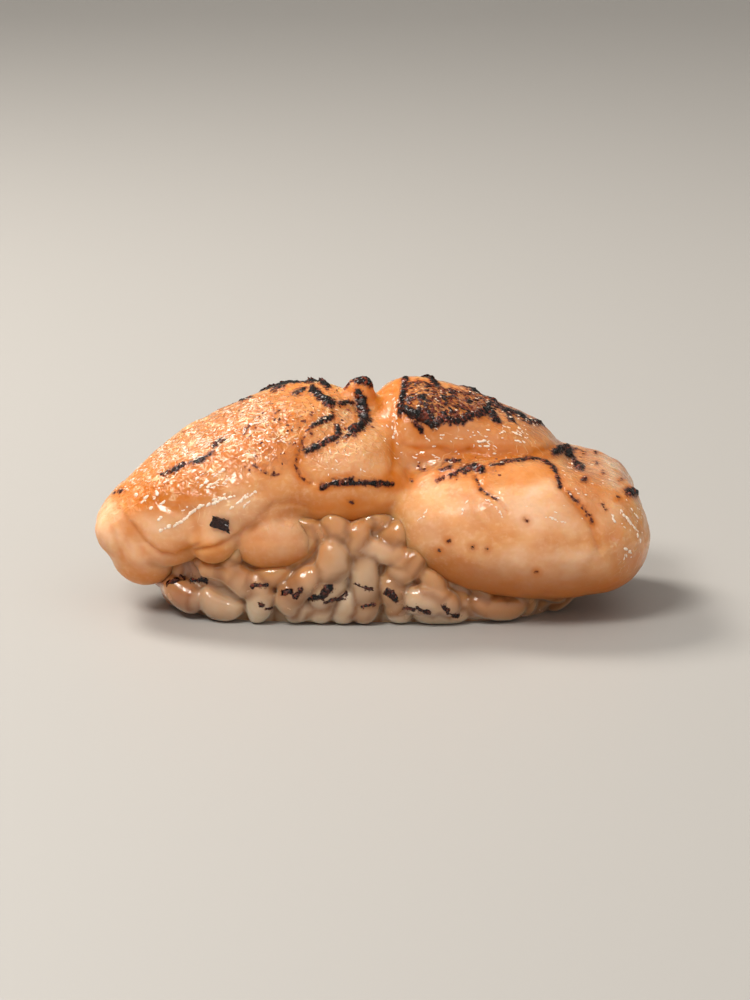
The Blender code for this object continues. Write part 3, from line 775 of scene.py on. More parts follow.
def core_mesh(subdivisions, larger):
    """The rice core, larger all round by so many millimetres, cut flat at its foot."""
    bm = even_ball(subdivisions)
    rays = np.array([v.co.normalized() for v in bm.verts]) * np.array(CORE_HALF)
    skin = crossings(np.array(CORE_AT), rays, lambda p: core_gap(p) - larger, 0.5, 2)
    place_verts(bm.verts, skin)
    foot = Vector((0, 0, (FOOT_HEIGHT - larger) * MM))
    everything = bm.verts[:] + bm.edges[:] + bm.faces[:]
    cut = bmesh.ops.bisect_plane(
        bm, geom=everything, plane_co=foot, plane_no=(0, 0, -1), clear_outer=True
    )
    rim = [e for e in cut["geom_cut"] if isinstance(e, bmesh.types.BMEdge)]
    bmesh.ops.contextual_create(bm, geom=rim)
    bmesh.ops.recalc_face_normals(bm, faces=bm.faces[:])
    return bm


# Materials.


class Shader:
    """A material's nodes, added one by one."""

    def __init__(self, name):
        self.material = bpy.data.materials.new(name)
        self.material.use_nodes = True
        self.tree = self.material.node_tree
        self.surface = self.tree.nodes["Principled BSDF"]
        self.place = self.add("ShaderNodeTexCoord").outputs["Object"]

    def add(self, kind, links=None, **settings):
        node = self.tree.nodes.new(kind)
        for name, value in settings.items():
            setattr(node, name, value)
        for socket, value in (links or {}).items():
            self.set(node.inputs[socket], value)
        return node

    def set(self, socket, value):
        if isinstance(value, bpy.types.NodeSocket):
            self.tree.links.new(value, socket)
        else:
            socket.default_value = value

    def value(self, name):
        """The number that the piece keeps for each point under this name."""
        return self.add("ShaderNodeAttribute", attribute_name=name).outputs["Fac"]

    def math(self, operation, a, b=0.0, clamp=False):
        node = self.add("ShaderNodeMath", {0: a, 1: b}, operation=operation, use_clamp=clamp)
        return node.outputs[0]

    def times(self, a, b):
        return self.math("MULTIPLY", a, b)

    def plus(self, a, b):
        return self.math("ADD", a, b)

    def noise(self, lump, detail=2.0, stretch=None):
        """Noise from 0 to 1 with lumps about so many millimetres across."""
        place = self.place
        if stretch:
            mapping = self.add("ShaderNodeMapping", {"Vector": place, "Scale": stretch})
            place = mapping.outputs[0]
        links = {"Vector": place, "Scale": 1 / (lump * MM), "Detail": detail}
        return self.add("ShaderNodeTexNoise", links).outputs["Fac"]

    def walls(self, cell):
        """0 on the walls between cells of this many millimetres, growing inside them."""
        links = {"Vector": self.place, "Scale": 1 / (1.3 * cell * MM), "Detail": 1.0}
        stray = self.add("ShaderNodeTexNoise", links).outputs["Color"]
        scale = {0: stray, 1: (1.6 * cell * MM,) * 3}
        shift = self.add("ShaderNodeVectorMath", scale, operation="MULTIPLY").outputs[0]
        bent = self.add("ShaderNodeVectorMath", {0: self.place, 1: shift}).outputs[0]
        links = {"Vector": bent, "Scale": 1 / (cell * MM)}
        node = self.add("ShaderNodeTexVoronoi", links, feature="DISTANCE_TO_EDGE")
        return node.outputs["Distance"]

    def drops(self, cell):
        """Low round drops, from 0 to 1, in some of the cells of this many millimetres."""
        links = {"Vector": self.place, "Scale": 1 / (cell * MM)}
        node = self.add("ShaderNodeTexVoronoi", links)
        cap = self.slope(node.outputs["Distance"], 0.0, 0.4)
        pick = self.add("ShaderNodeSeparateColor", {"Color": node.outputs["Color"]}).outputs[0]
        return self.times(cap, self.span(pick, 0.5, 0.55))

    def threads(self, lump):
        """Short winding threads of wet skin, from 0 to 1."""
        line = self.math("ABSOLUTE", self.math("SUBTRACT", self.noise(lump, 1.0), 0.5))
        shown = self.span(self.noise(0.7, 1.0), 0.45, 0.6)
        return self.times(self.slope(line, 0.0, 0.035), shown)

    def slope(self, value, low, high):
        """1 at low and 0 at high, and smooth between them."""
        links = {"Value": value, "From Min": low, "From Max": high, "To Min": 1.0, "To Max": 0.0}
        node = self.add("ShaderNodeMapRange", links, interpolation_type="SMOOTHSTEP")
        return node.outputs["Result"]

    def span(self, value, low, high, to_low=0.0, to_high=1.0):
        """to_low at low and to_high at high, and straight between them."""
        links = {"Value": value, "From Min": low, "From Max": high}
        links |= {"To Min": to_low, "To Max": to_high}
        return self.add("ShaderNodeMapRange", links).outputs["Result"]

    def mix(self, share, a, b):
        node = self.add("ShaderNodeMix", data_type="RGBA")
        self.set(node.inputs["Factor"], share)
        self.set(node.inputs[6], a)
        self.set(node.inputs[7], b)
        return node.outputs[2]

    def toward(self, share, colour, rgb):
        """The colour, mixed with an sRGB one by so large a share."""
        return self.mix(share, colour, linear(rgb))

    def bump(self, height, depth, before=None):
        """A bump of so many millimetres, on top of the one before it."""
        links = {"Height": height, "Distance": depth * MM}
        if before is not None:
            links["Normal"] = before
        return self.add("ShaderNodeBump", links).outputs["Normal"]

    def finish(self, **sockets):
        for name, value in sockets.items():
            self.set(self.surface.inputs[name.replace("_", " ")], value)
        return self.material


def fresh_flesh(s, glaze, cloud, speckle, fibres):
    """The flesh before the torch: marbled, with pale fibres, and amber where juice gathers.
    Painted shade makes it darker and browner on its undersides and in recesses, and more
    amber in its creases and folds, in the groove and low down.
    """
    flesh = s.mix(s.span(cloud, 0.35, 0.68), linear(FLESH), linear(FLESH_DARK))
    marble = s.span(s.noise(3.2, 4, (0.8, 1.0, 1.0)), 0.42, 0.62)
    flesh = s.toward(s.times(s.value("pale"), s.span(marble, 0, 1, 0.45, 1.0)), flesh, PALE)
    plain = s.span(glaze, 0.0, 0.8, 1.0, 0.0)
    flesh = s.toward(s.times(s.span(fibres, 0.5, 0.75, 0, 0.25), plain), flesh, PALE)
    flesh = s.toward(s.times(s.span(speckle, 0.5, 0.75, 0, 0.4), plain), flesh, PALE)
    # Painted shade: darker and browner on the undersides and in the recesses.
    flesh = s.toward(s.value("deep"), flesh, PAINTED_SHADE_BROWN)
    # Amber where the glaze value is high: real glaze, and painted shade in creases, folds, the
    # groove and low down.
    amber = s.times(glaze, s.span(s.noise(1.5, 2), 0.35, 0.6, 0.68, 1.0))
    return s.toward(amber, flesh, GLAZE_AMBER_AND_SHADE)


def torched(s, flesh, cloud, speckle, grit):
    """The flesh with its sear and brown char, and how burnt it is, from 0 to 1."""
    char = s.value("char")
    flesh = s.toward(s.times(s.value("sear"), s.span(speckle, 0.44, 0.62)), flesh, SEAR)
    halo = s.times(s.span(char, -0.9, -0.1), s.span(cloud, 0.3, 0.6, 0.25, 0.8))
    flesh = s.toward(halo, flesh, GLAZE_AMBER_AND_SHADE)
    near = s.plus(char, s.span(speckle, 0.3, 0.7, -0.30, 0.12))
    flesh = s.toward(s.span(near, -0.42, 0.0, 0.0, 0.8), flesh, SEAR)
    rough_edge = s.plus(near, s.span(grit, 0.3, 0.7, -0.1, 0.1))
    flesh = s.toward(s.span(rough_edge, -0.2, -0.03), flesh, CHAR_BROWN)
    return flesh, s.span(rough_edge, 0.0, 0.08)


def glinting(s, flesh, walls, threads, crinkle, wet):
    """The flesh with painted highlights: golden glints along threads of its wet skin and in a
    net along the walls of its wrinkles.
    """
    # Painted highlight: golden glints along the threads of wet skin.
    flesh = s.toward(s.times(threads, 0.3), flesh, PAINTED_GLINT_GOLD)
    # Painted highlight: a net of golden glints along the walls of the wrinkles.
    net = s.times(s.slope(walls, 0.02, 0.10), s.span(s.noise(1.6, 1.0), 0.50, 0.58))
    net = s.times(s.times(net, wet), s.span(crinkle, 0.3, 0.9))
    return s.toward(s.times(net, 0.65), flesh, PAINTED_GLINT_GOLD)


def flesh_material():
    """Moist scallop: pale to amber flesh, brown sear and black char, under a wet gloss, with
    painted shade in its creases and undersides and painted golden glints on its wet skin.
    """
    s = Shader("scallop_flesh")
    glaze, crinkle, wet = s.value("glaze"), s.value("crinkle"), s.value("wet")
    cloud, speckle, grit = s.noise(3.6, 3), s.noise(0.55, 3), s.noise(0.24, 2)
    fibres = s.noise(1.0, 3, (0.55, 1.0, 1.3))
    walls = s.walls(0.95)
    threads = s.times(s.threads(1.8), wet)
    flesh = fresh_flesh(s, glaze, cloud, speckle, fibres)
    flesh, burnt = torched(s, flesh, cloud, speckle, grit)
    # Painted highlights: golden glints in the flesh's colour.
    flesh = glinting(s, flesh, walls, threads, crinkle, wet)
    wrinkle = s.times(s.slope(walls, 0.0, 0.24), crinkle)
    body = s.bump(s.times(wrinkle, 0.4), 0.16, s.bump(fibres, 0.03))
    body = s.bump(s.times(grit, burnt), 0.35, body)
    skin = s.bump(wrinkle, 0.16, body)
    skin = s.bump(s.times(s.noise(2.2, 1.0), wet), 0.5, skin)
    skin = s.bump(s.times(s.drops(0.85), wet), 0.06, skin)
    skin = s.bump(threads, 0.1, skin)
    skin = s.bump(s.times(grit, crinkle), 0.08, skin)
    see_through = s.times(s.span(glaze, 0, 1, 0.75, 0.35), s.span(burnt, 0, 1, 1, 0.1))
    return s.finish(
        Base_Color=s.toward(burnt, flesh, CHAR_BLACK),
        Roughness=s.plus(s.span(wet, 0.0, 1.0, 0.5, 0.36), s.times(burnt, 0.15)),
        Normal=body,
        Subsurface_Weight=see_through,
        Subsurface_Radius=(1.0, 0.5, 0.22),
        Subsurface_Scale=3 * MM,
        Specular_IOR_Level=0.15,
        Coat_Weight=s.times(s.span(wet, 0.0, 1.0, 0.15, 1.0), s.span(burnt, 0, 1, 1, 0.2)),
        Coat_Roughness=0.03,
        Coat_IOR=1.6,
        Coat_Normal=skin,
    )


def crust_material():
    """Brittle char: black flakes and red-brown ones, with small bright facets."""
    s = Shader("char_crust")
    speckle = s.noise(0.5, 3)
    ember = s.math("MULTIPLY", s.span(speckle, 0.3, 0.6, 0.3, 1.0), s.value("ember"), clamp=True)
    return s.finish(
        Base_Color=s.mix(ember, linear(CHAR_BLACK), linear(EMBER)),
        Roughness=s.span(speckle, 0.35, 0.65, 0.12, 0.42),
        Normal=s.bump(s.noise(0.16, 2), 0.02),
        Specular_IOR_Level=0.4,
    )


def glaze_and_glint_material():
    """Glossy, and almost white as a painted highlight: clear glaze where it catches the light."""
    s = Shader("glaze_beads_painted_glints")
    tone = s.mix(s.noise(0.8, 2), linear(PAINTED_GLINT_WHITE), linear(PALE))
    return s.finish(Base_Color=tone, Roughness=0.08)


def rice_material():
    """Cooked rice, milky and glassy, amber near the flesh, with stains and specks of char, with
    painted shade in its seams and low down, a painted sheen at the rims of its grains, and a
    painted glow of light through the flesh in its amber.
    """
    s = Shader("rice_grains")
    cloud = s.noise(2.2, 3)
    grain = s.mix(s.value("milk"), linear(RICE_GLASSY), linear(RICE_MILKY))
    grain = s.toward(s.span(cloud, 0.35, 0.7, 0.0, 0.5), grain, RICE_CLOUD)
    # Amber near the flesh: partly soaked-in juice, partly a painted glow of light through the
    # flesh.
    grain = s.toward(s.value("soak_and_glow"), grain, RICE_SOAK_AND_GLOW)
    # Painted shade: darker in the seams between grains and towards the bottom of the rice.
    grain = s.toward(s.value("painted_seam_shade"), grain, RICE_SEAM_SHADE)
    # Painted sheen: the grain's colour turns paler where its skin turns away from the eye.
    rim = s.add("ShaderNodeLayerWeight", {"Blend": 0.3}).outputs["Facing"]
    grain = s.toward(s.span(rim, 0.25, 0.9, 0.0, 0.65), grain, RICE_PAINTED_SHEEN)
    grain = s.toward(s.value("stain"), grain, RICE_STAIN)
    near = s.plus(s.value("char"), s.span(s.noise(0.5, 3), 0.3, 0.7, -0.32, 0.16))
    grain = s.toward(s.span(near, -0.2, -0.04), grain, CHAR_BROWN)
    burnt = s.span(near, -0.04, 0.03)
    return s.finish(
        Base_Color=s.toward(burnt, grain, CHAR_BLACK),
        Roughness=s.span(cloud, 0.3, 0.7, 0.16, 0.28),
        Normal=s.bump(s.noise(0.6, 2), 0.04),
        Subsurface_Weight=0.85,
        Subsurface_Radius=(1.0, 0.66, 0.42),
        Subsurface_Scale=2.8 * MM,
        Specular_IOR_Level=0.25,
        Transmission_Weight=s.span(burnt, 0, 1, 0.15, 0),
        Coat_Weight=s.span(burnt, 0, 1, 0.9, 0.1),
        Coat_Roughness=0.05,
        Coat_Normal=s.bump(s.noise(1.3, 1.0), 0.3),
    )


def floor_material():
    s = Shader("floor")
    return s.finish(Base_Color=linear(FLOOR_GREY), Roughness=0.55)


# The flesh.


def relax(bm, rounds):
    """Evens out the points and sets them back on the skin of the flesh."""
    for _ in range(rounds):
        bmesh.ops.smooth_vert(
            bm, verts=bm.verts, factor=0.5, use_axis_x=True, use_axis_y=True, use_axis_z=True
        )
        points = points_mm(bm.verts)
        back = outward(points, flesh_gap) * flesh_gap(points)[:, None]
        place_verts(bm.verts, points - back)


def hollowed(piece):
    """Takes the room for the rice out of the piece."""
    cutter = new_piece("rice_room", core_mesh(ROOM_FINENESS, FIT_GAP))
    cut = piece.modifiers.new("hollow", "BOOLEAN")
    cut.operation = "DIFFERENCE"
    cut.solver = "MANIFOLD"
    cut.object = cutter
    apply_modifiers(piece)
    bpy.data.objects.remove(cutter)


def seen_well(points, out):
    """Where the skin faces the front or the top, so that it needs a finer mesh."""
    return (out[:, 1] < 0.35) & (out[:, 2] > -0.45) & (np.abs(flesh_gap(points)) < 0.05)


def refine(piece):
    """Splits the faces that show most, and sets the new points on the skin."""
    bm = bmesh.new()
    bm.from_mesh(piece.data)
    middles = np.array([f.calc_center_median() for f in bm.faces]) / MM
    wanted = seen_well(middles, outward(middles, flesh_gap))
    edges = {e for face, keep in zip(bm.faces, wanted) if keep for e in face.edges}
    bmesh.ops.subdivide_edges(bm, edges=[e for e in bm.edges if e in edges], cuts=1)
    bmesh.ops.triangulate(bm, faces=[f for f in bm.faces if len(f.verts) > 3])
    points = points_mm(bm.verts)
    gaps = flesh_gap(points)
    back = np.where(np.abs(gaps) < 0.3, gaps, 0)
    place_verts(bm.verts, points - outward(points, flesh_gap) * back[:, None])
    bm.to_mesh(piece.data)
    bm.free()


def fold_depth(pixels):
    """How far folds and cuts sink the skin, less what lips and bulges lift it."""
    depth = np.zeros(len(pixels))
    for half_width, deep, lip, line in FOLDS.values():
        reach = line_distance(pixels, line) / (2 * half_width)
        depth += deep * np.exp(-reach * reach * 2)
        side = np.where(left_of(pixels, line), 1.0, 0.0)
        depth -= lip * side * np.exp(-reach * 0.6)
    for (x, y), radius, high in BULGES.values():
        reach = np.hypot(pixels[:, 0] - x, pixels[:, 1] - y) / radius
        depth -= high * np.exp(-reach * reach * 2)
    return depth


def fold_shade(pixels):
    """Painted shade: 1 along the lines of the folds and cuts, which are painted amber there as
    shade, and 0 beside them.
    """
    shade = np.zeros(len(pixels))
    for half_width, deep, _, line in FOLDS.values():
        reach = line_distance(pixels, line) / half_width
        shade = np.maximum(shade, min(1, 3 * deep) * (1 - ramp(reach, 0.0, 1.6)))
    return shade


def bundle_creases(points):
    """1 in the creases between the bundles of muscle, falling to 0 beside them."""
    stretched = points * np.array((0.7, 1.0, 1.0))
    bent = stretched + 0.9 * noise_at(points, 5.0, 7)[:, None]
    near = [noise.voronoi(Vector(p) / BUNDLE_SIZE)[0] for p in bent]
    return 1 - ramp(np.array([n[1] - n[0] for n in near]), 0.0, 0.42)


def flesh_char(points, out):
    """How deep each point is in the char of the side that shows it, front or back."""
    char = np.full(len(points), NO_CHAR)
    for strokes, behind in ((CHAR, False), (BACK_CHAR, True)):
        shown = facing(out, points, behind) > SHOWN
        depth = char_depth(photo_places(points, behind), strokes)
        char = np.maximum(char, np.where(shown, depth, NO_CHAR))
    patch = in_patch(photo_places(points)) & (facing(out, points) > SHOWN)
    return np.where(patch, np.maximum(char, PATCH_CHAR), char)


def flesh_values(points, out):
    """What the flesh is like at each point, for its relief and its material."""
    front = photo_places(points)
    shown = facing(out, points)
    is_front = shown >= facing(out, points, True)
    upward = ramp(out[:, 2], 0.25, 0.85)
    cloud = noise_at(points, 4.5, 3)
    elsewhere = 0.55 * upward * ramp(cloud, -0.1, 0.5)
    sear = np.where(is_front, in_zone(front, SEARED_ZONES), elsewhere)
    low = 1 - ramp(points[:, 2], 4, 11)
    glaze = np.where(is_front, in_zone(front, GLAZE_AND_SHADE_ZONES), 0.3 + 0.3 * cloud)
    # Painted shade: more amber towards the bottom of the flesh.
    glaze = np.clip(np.maximum(glaze, 0.35 * low) + 0.15 * noise_at(points, 7, 5), 0, 1)
    pale = np.where(is_front, in_zone(front, PALE_ZONES), 0.25 - 0.3 * cloud)
    left_top = ramp(-points[:, 0], -2, 4)
    # Painted shade: darker where the skin faces down, more so away from the left end.
    under = ramp(-out[:, 2], 0.1, 0.9) * (0.35 + 0.45 * ramp(points[:, 0], -18, -8))
    crease = bundle_creases(points) * np.where(is_front, in_zone(front, BUNDLE_ZONES), 0.5)
    painted_fold_shade = np.where(shown > SHOWN, fold_shade(front), 0)
    return dict(
        char=flesh_char(points, out),
        sear=np.maximum(sear, 0.35 * elsewhere),
        # Painted shade: more amber in the creases between bundles and along the folds.
        glaze=np.clip(glaze + 0.3 * crease + 0.5 * painted_fold_shade, 0, 1),
        pale=np.clip(pale - 0.5 * glaze, 0, 1),
        crinkle=np.clip(upward * (0.2 + 0.8 * left_top), 0, 1),
        wet=np.where(is_front, in_zone(front, WET_ZONES), 0.35 + 0.5 * upward),
        # Painted shade on the undersides and in the recesses.
        deep=np.maximum(under, np.where(is_front, in_zone(front, PAINTED_SHADE_ZONES), 0)),
        crease=crease,
    )


def relief(points, out, values):
    """How far the skin stands out from the plain lobes."""
    height = 0.20 * noise_at(points, 6.0, 1) + 0.11 * noise_at(points, 1.9, 2)
    height -= fold_depth(photo_places(points)) * facing(out, points)
    height -= 0.22 * values["crease"]
    height += 0.14 * values["crinkle"] * ridges_at(points, 1.15, 4)
    charred = ramp(values["char"], -0.15, 0.15)
    height += charred * (0.10 + 0.10 * noise_at(points, 0.5, 6))
    height += 0.3 * ramp(values["char"], 0.1, 0.6)
    return height


def plain_lobes():
    """The flesh without its relief, hollowed for the rice and finer where it shows."""
    bm = even_ball(FLESH_FINENESS)
    directions = np.array([v.co.normalized() for v in bm.verts])
    starts = directions * np.array((SPINE_HALF, 0, 0)) + np.array((0, 0, SPINE_Z))
    skin = crossings(starts, directions * np.array(REACH), flesh_gap, 0.05, 1.8, 20)
    place_verts(bm.verts, skin)
    relax(bm, RELAX_ROUNDS)
    piece = new_piece("scallop_flesh", bm)
    hollowed(piece)
    refine(piece)
    return piece


def make_flesh():
    piece = plain_lobes()
    points = points_mm(piece.data.vertices)
    out = outward(points, flesh_gap)
    values = flesh_values(points, out)
    skin = ramp(core_gap(points), 0.2, 1.2)
    moved = points + out * (relief(points, out, values) * skin)[:, None]
    place_verts(piece.data.vertices, moved)
    for name, numbers in values.items():
        paint(piece, name, numbers)
    piece.data.materials.clear()
    piece.data.materials.append(flesh_material())
    smooth(piece)
    return piece


# The crust that stands up, and the beads of glaze, coloured almost white as painted
# highlights. A spot of either is its pixel across and down, its lean, half its length and half
# its width in pixels, and how red it glows.


def part_way(start, end, share):
    """The place so large a share of the way from start to end."""
    return tuple(a + (b - a) * share for a, b in zip(start, end))


def lean_of(start, end):
    return math.atan2(end[1] - start[1], end[0] - start[0])


def spot_in_oval(draw, middle, half):
    """A pixel in the oval, any part of it as likely as another."""
    angle, reach = draw.uniform(0, 2 * math.pi), math.sqrt(draw.random())
    x = middle[0] + math.cos(angle) * half[0] * reach
    y = middle[1] + math.sin(angle) * half[1] * reach
    return x, y


def flake(draw, place, run, half_width, ember):
    """One flake, across a broad char stroke or along a thin one, or None to leave it out."""
    across = math.pi / 2 if half_width > BROAD_STROKE else 0.0
    wide = ragged(half_width, stray_at(np.array([place]))[0])
    side = draw.uniform(-1, 1)
    size = draw.uniform(0.7, 1.1) * (0.8 + 0.42 * wide)
    long, thick = size * draw.uniform(1.0, 1.5), size * draw.uniform(0.55, 0.9)
    stray = side * max(0.2, wide - (long if across else thick))
    lean = run + across + draw.uniform(-0.45, 0.45)
    own = ember + draw.uniform(-0.4, 0.2) + 0.9 * (abs(side) > 0.85)
    if draw.random() < 0.85 * (ember - 0.3):
        return None
    x, y = place[0] - math.sin(run) * stray, place[1] + math.cos(run) * stray
    return x, y, lean, long, thick, own


def flake_places(strokes, draw, crowd=7.0):
    """Flakes of crust along the char strokes, fewer of them where crowd is larger."""
    found = []
    for half_width, ember, line in strokes.values():
        for start, end in zip(line, line[1:]):
            count = max(2, round((math.dist(start, end) + 1) * (half_width + 0.8) / crowd))
            for index in range(count):
                place = part_way(start, end, (index + draw.random()) / count)
                found.append(flake(draw, place, lean_of(start, end), half_width, ember))
    return [spot for spot in found if spot]


def patch_crumbs(draw):
    """Crumbs strewn in clumps over the patch of crust."""
    low, high = np.min(PATCH, axis=0), np.max(PATCH, axis=0)
    found = []
    while len(found) < PATCH_CRUMBS:
        x, y = draw.uniform(low[0], high[0]), draw.uniform(low[1], high[1])
        clump = noise_at(np.array([(x, y, 0)]), 8.0, 15)[0]
        if in_patch(np.array([(x, y)]))[0] and clump < 0.3:
            size = draw.uniform(0.9, 2.2) - clump
            own = draw.uniform(0.2, 1.1) + 1.4 * clump
            found.append((x, y, draw.uniform(0, math.pi), size * draw.uniform(1, 1.9), size, own))
    return found


def loose_crumbs(draw):
    """The small crumbs that lie about the seared zones."""
    found = []
    for middle, half, strength in SEARED_ZONES.values():
        for _ in range(round(strength * half[0] * half[1] / 20)):
            spot = spot_in_oval(draw, middle, half)
            size = draw.uniform(0.5, 1.5)
            lean = draw.uniform(0, math.pi)
            found.append((*spot, lean, size * draw.uniform(1, 2), size, draw.uniform(0.5, 1.2)))
    return found


def zone_beads(draw):
    """Beads of glaze in the zones that glint, in clusters, coloured as painted highlights."""
    found = []
    for middle, half, count, lean in BEADS.values():
        for _ in range(count):
            spot = spot_in_oval(draw, middle, half)
            if noise_at(np.array([(*spot, 0)]), 9.0, 14)[0] < 0.0:
                continue
            own = math.radians(lean) + draw.uniform(-0.8, 0.8)
            found.append((*spot, own, draw.uniform(0.7, 2.4), draw.uniform(0.45, 1.0), 0))
    return found


def streak_beads(draw):
    """Beads that run together into the single streaks of glaze, coloured as painted highlights."""
    found = []
    for half_width, line in STREAKS.values():
        for start, end in zip(line, line[1:]):
            for _ in range(max(2, round(math.dist(start, end) / 1.8))):
                x, y = part_way(start, end, draw.random())
                x, y = x + draw.uniform(-0.7, 0.7), y + draw.uniform(-0.7, 0.7)
                own = lean_of(start, end) + draw.uniform(-0.5, 0.5)
                size = half_width * draw.uniform(0.45, 1.0)
                found.append((x, y, own, size * draw.uniform(1.1, 2.2), size, 0))
    return found


def laid_down(place, normal, lean, half_length, half_width, side):
    """The matrix that lays a unit ball flat on the skin, stretched to these pixels."""
    along = Vector((math.cos(lean) * side, 0, -math.sin(lean)))
    along = (along - normal * along.dot(normal)).normalized()
    axes = Matrix((along, normal.cross(along), normal)).transposed().to_4x4()
    half = Vector((half_length, half_width, half_width * SPOT_FLAT)) * (MM / PIXELS_PER_MM)
    return Matrix.Translation(place) @ axes @ Matrix.Diagonal((*half, 1))


def add_spots(bm, under, spots, draw, behind=False, rough=0.24):
    """Sets rough little lumps on the first skin behind each pixel, and gives their embers."""
    pattern, sides = ball_pattern(*SPOT_SIDES)
    tree = tree_of(under)
    eye, rays = photo_rays(np.array([s[:2] for s in spots]), behind)
    embers = []
    for ray, (_, _, lean, half_length, half_width, ember) in zip(rays, spots):
        place, normal, _, _ = tree.ray_cast(Vector(eye) * MM, Vector(ray))
        if place is None:
            continue
        tilt = Vector([draw.uniform(-1, 1) for _ in range(3)])
        normal = (normal + 0.5 * rough * tilt).normalized()
        side = -1 if behind else 1
        matrix = laid_down(place, normal, lean, half_length, half_width, side)
        points = [matrix @ (p * draw.uniform(1 - rough, 1 + rough)) for p in pattern]
        add_copy(bm, points, sides)
        embers.extend([ember] * len(points))
    return embers


def make_crust(flesh):
    draw = random.Random(CRUST_SEED)
    bm = bmesh.new()
    front = flake_places(CHAR, draw) + patch_crumbs(draw) + loose_crumbs(draw)
    embers = add_spots(bm, flesh, front, draw)
    embers += add_spots(bm, flesh, flake_places(BACK_CHAR, draw), draw, behind=True)
    piece = new_piece("char_crust", bm, crust_material())
    paint(piece, "ember", embers)
    return piece


def make_beads(flesh):
    """Thick wet glaze that stands in small beads, coloured almost white as painted highlights
    where it catches the light.
    """
    draw = random.Random(BEAD_SEED)
    bm = bmesh.new()
    add_spots(bm, flesh, zone_beads(draw) + streak_beads(draw), draw, rough=0.1)
    piece = new_piece("glaze_beads_painted_glints", bm, glaze_and_glint_material())
    smooth(piece)
    return piece


def tile_sheet(bm, tree, draw, height):
    """The chip's upper or lower face as rows of points, so many millimetres off the flesh."""
    sheet = []
    for row in range(TILE_STEPS + 1):
        for column in range(TILE_STEPS + 1):
            u, v = column / TILE_STEPS, row / TILE_STEPS
            upper = Vector(TILE[0]).lerp(Vector(TILE[1]), u)
            lower = Vector(TILE[3]).lerp(Vector(TILE[2]), u)
            stray = Vector((draw.uniform(-0.6, 0.6), draw.uniform(-0.6, 0.6)))
            eye, rays = photo_rays(np.array([upper.lerp(lower, v) + stray]))
            place, normal, _, _ = tree.ray_cast(Vector(eye) * MM, Vector(rays[0]))
            curl = TILE_CURL * (2 * u - 1) ** 2 * (height > 0)
            lift = height + curl + draw.uniform(-0.04, 0.04)
            sheet.append(bm.verts.new(place + normal * lift * MM))
    return sheet


def make_tile(flesh):
    """The square chip of charcoal that lies on the left front."""
    draw = random.Random(TILE_SEED)
    tree = tree_of(flesh)
    bm = bmesh.new()
    top = tile_sheet(bm, tree, draw, TILE_TOP)
    foot = tile_sheet(bm, tree, draw, TILE_FOOT)
    side = TILE_STEPS + 1
    last = side * side - 1
    for row in range(TILE_STEPS):
        for at in range(row * side, row * side + TILE_STEPS):
            corners = (at, at + side, at + side + 1, at + 1)
            bm.faces.new([top[i] for i in corners])
            bm.faces.new([foot[i] for i in reversed(corners)])
    rim = [*range(TILE_STEPS), *range(TILE_STEPS, last, side)]
    rim += [*range(last, side * TILE_STEPS, -1), *range(side * TILE_STEPS, 0, -side)]
    for a, b in zip(rim, rim[1:] + rim[:1]):
        bm.faces.new((top[a], top[b], foot[b], foot[a]))
    bmesh.ops.recalc_face_normals(bm, faces=bm.faces[:])
    piece = new_piece("char_tile", bm, crust_material())
    paint(piece, "ember", [0.1] * len(piece.data.vertices))
    return piece


# The rice.


def on_core(pixel):
    """Where a pixel's ray meets the rice core, or passes nearest to it."""
    eye, rays = photo_rays(np.array([pixel], float))
    place = eye + rays * (EYE_AWAY - CORE_REACH)
    for _ in range(70):
        place = place + rays * core_gap(place)[:, None] * 0.7
    return Vector(place[0])


def front_places():
    """The grains that the photo shows best: place, direction, length and width."""
    for pixel, lean, length, width in FRONT_GRAINS.values():
        place = on_core(pixel)
        if abs(core_gap(np.array([place]))[0]) < 0.5:
            along = Vector((math.cos(math.radians(lean)), 0, math.sin(math.radians(lean))))
            yield place, along, length, width


def row_places(draw):
    """Grains in loose rows round the core, each turned its own way, in the same form."""
    for height in ROW_HEIGHTS:
        for step in range(ROW_GRAINS):
            angle = 2 * math.pi * (step + draw.uniform(-0.35, 0.35)) / ROW_GRAINS
            level = np.array((CORE_AT[0], CORE_AT[1], height + draw.uniform(-0.7, 0.7)))
            ray = np.array((math.cos(angle) * CORE_HALF[0], math.sin(angle) * CORE_HALF[1], 0))
            place = crossings(level, ray[None], core_gap, 0, 1.5)[0]
            lean = draw.uniform(-math.pi / 2, math.pi / 2)
            sideways = Vector((-math.sin(angle), math.cos(angle), 0))
            along = sideways * math.cos(lean) + Vector((0, 0, math.sin(lean)))
            grow = draw.uniform(0.86, 1.12)
            yield Vector(place), along, GRAIN_LENGTH * grow, GRAIN_WIDTH * grow


def plump(pattern, width, depth, length, draw):
    """A unit ball's points as one grain: a little bent, with blunt ends, one of them thicker."""
    ends = np.abs(pattern[:, 2:])
    blunt = (1 - ends**3.2) ** 0.42 / np.maximum(np.sqrt(1 - ends**2), 0.05)
    points = pattern * np.hstack([blunt, blunt, np.ones_like(blunt)])
    points = points * (np.array((width, depth, length)) / 2)
    share = points[:, 2] / length
    points[:, 0] *= 1 + draw.uniform(-0.35, 0.35) * share
    points[:, 0] += draw.uniform(-0.9, 0.9) * share * share * width
    points[:, 1] -= 0.5 * share * share * depth
    return points


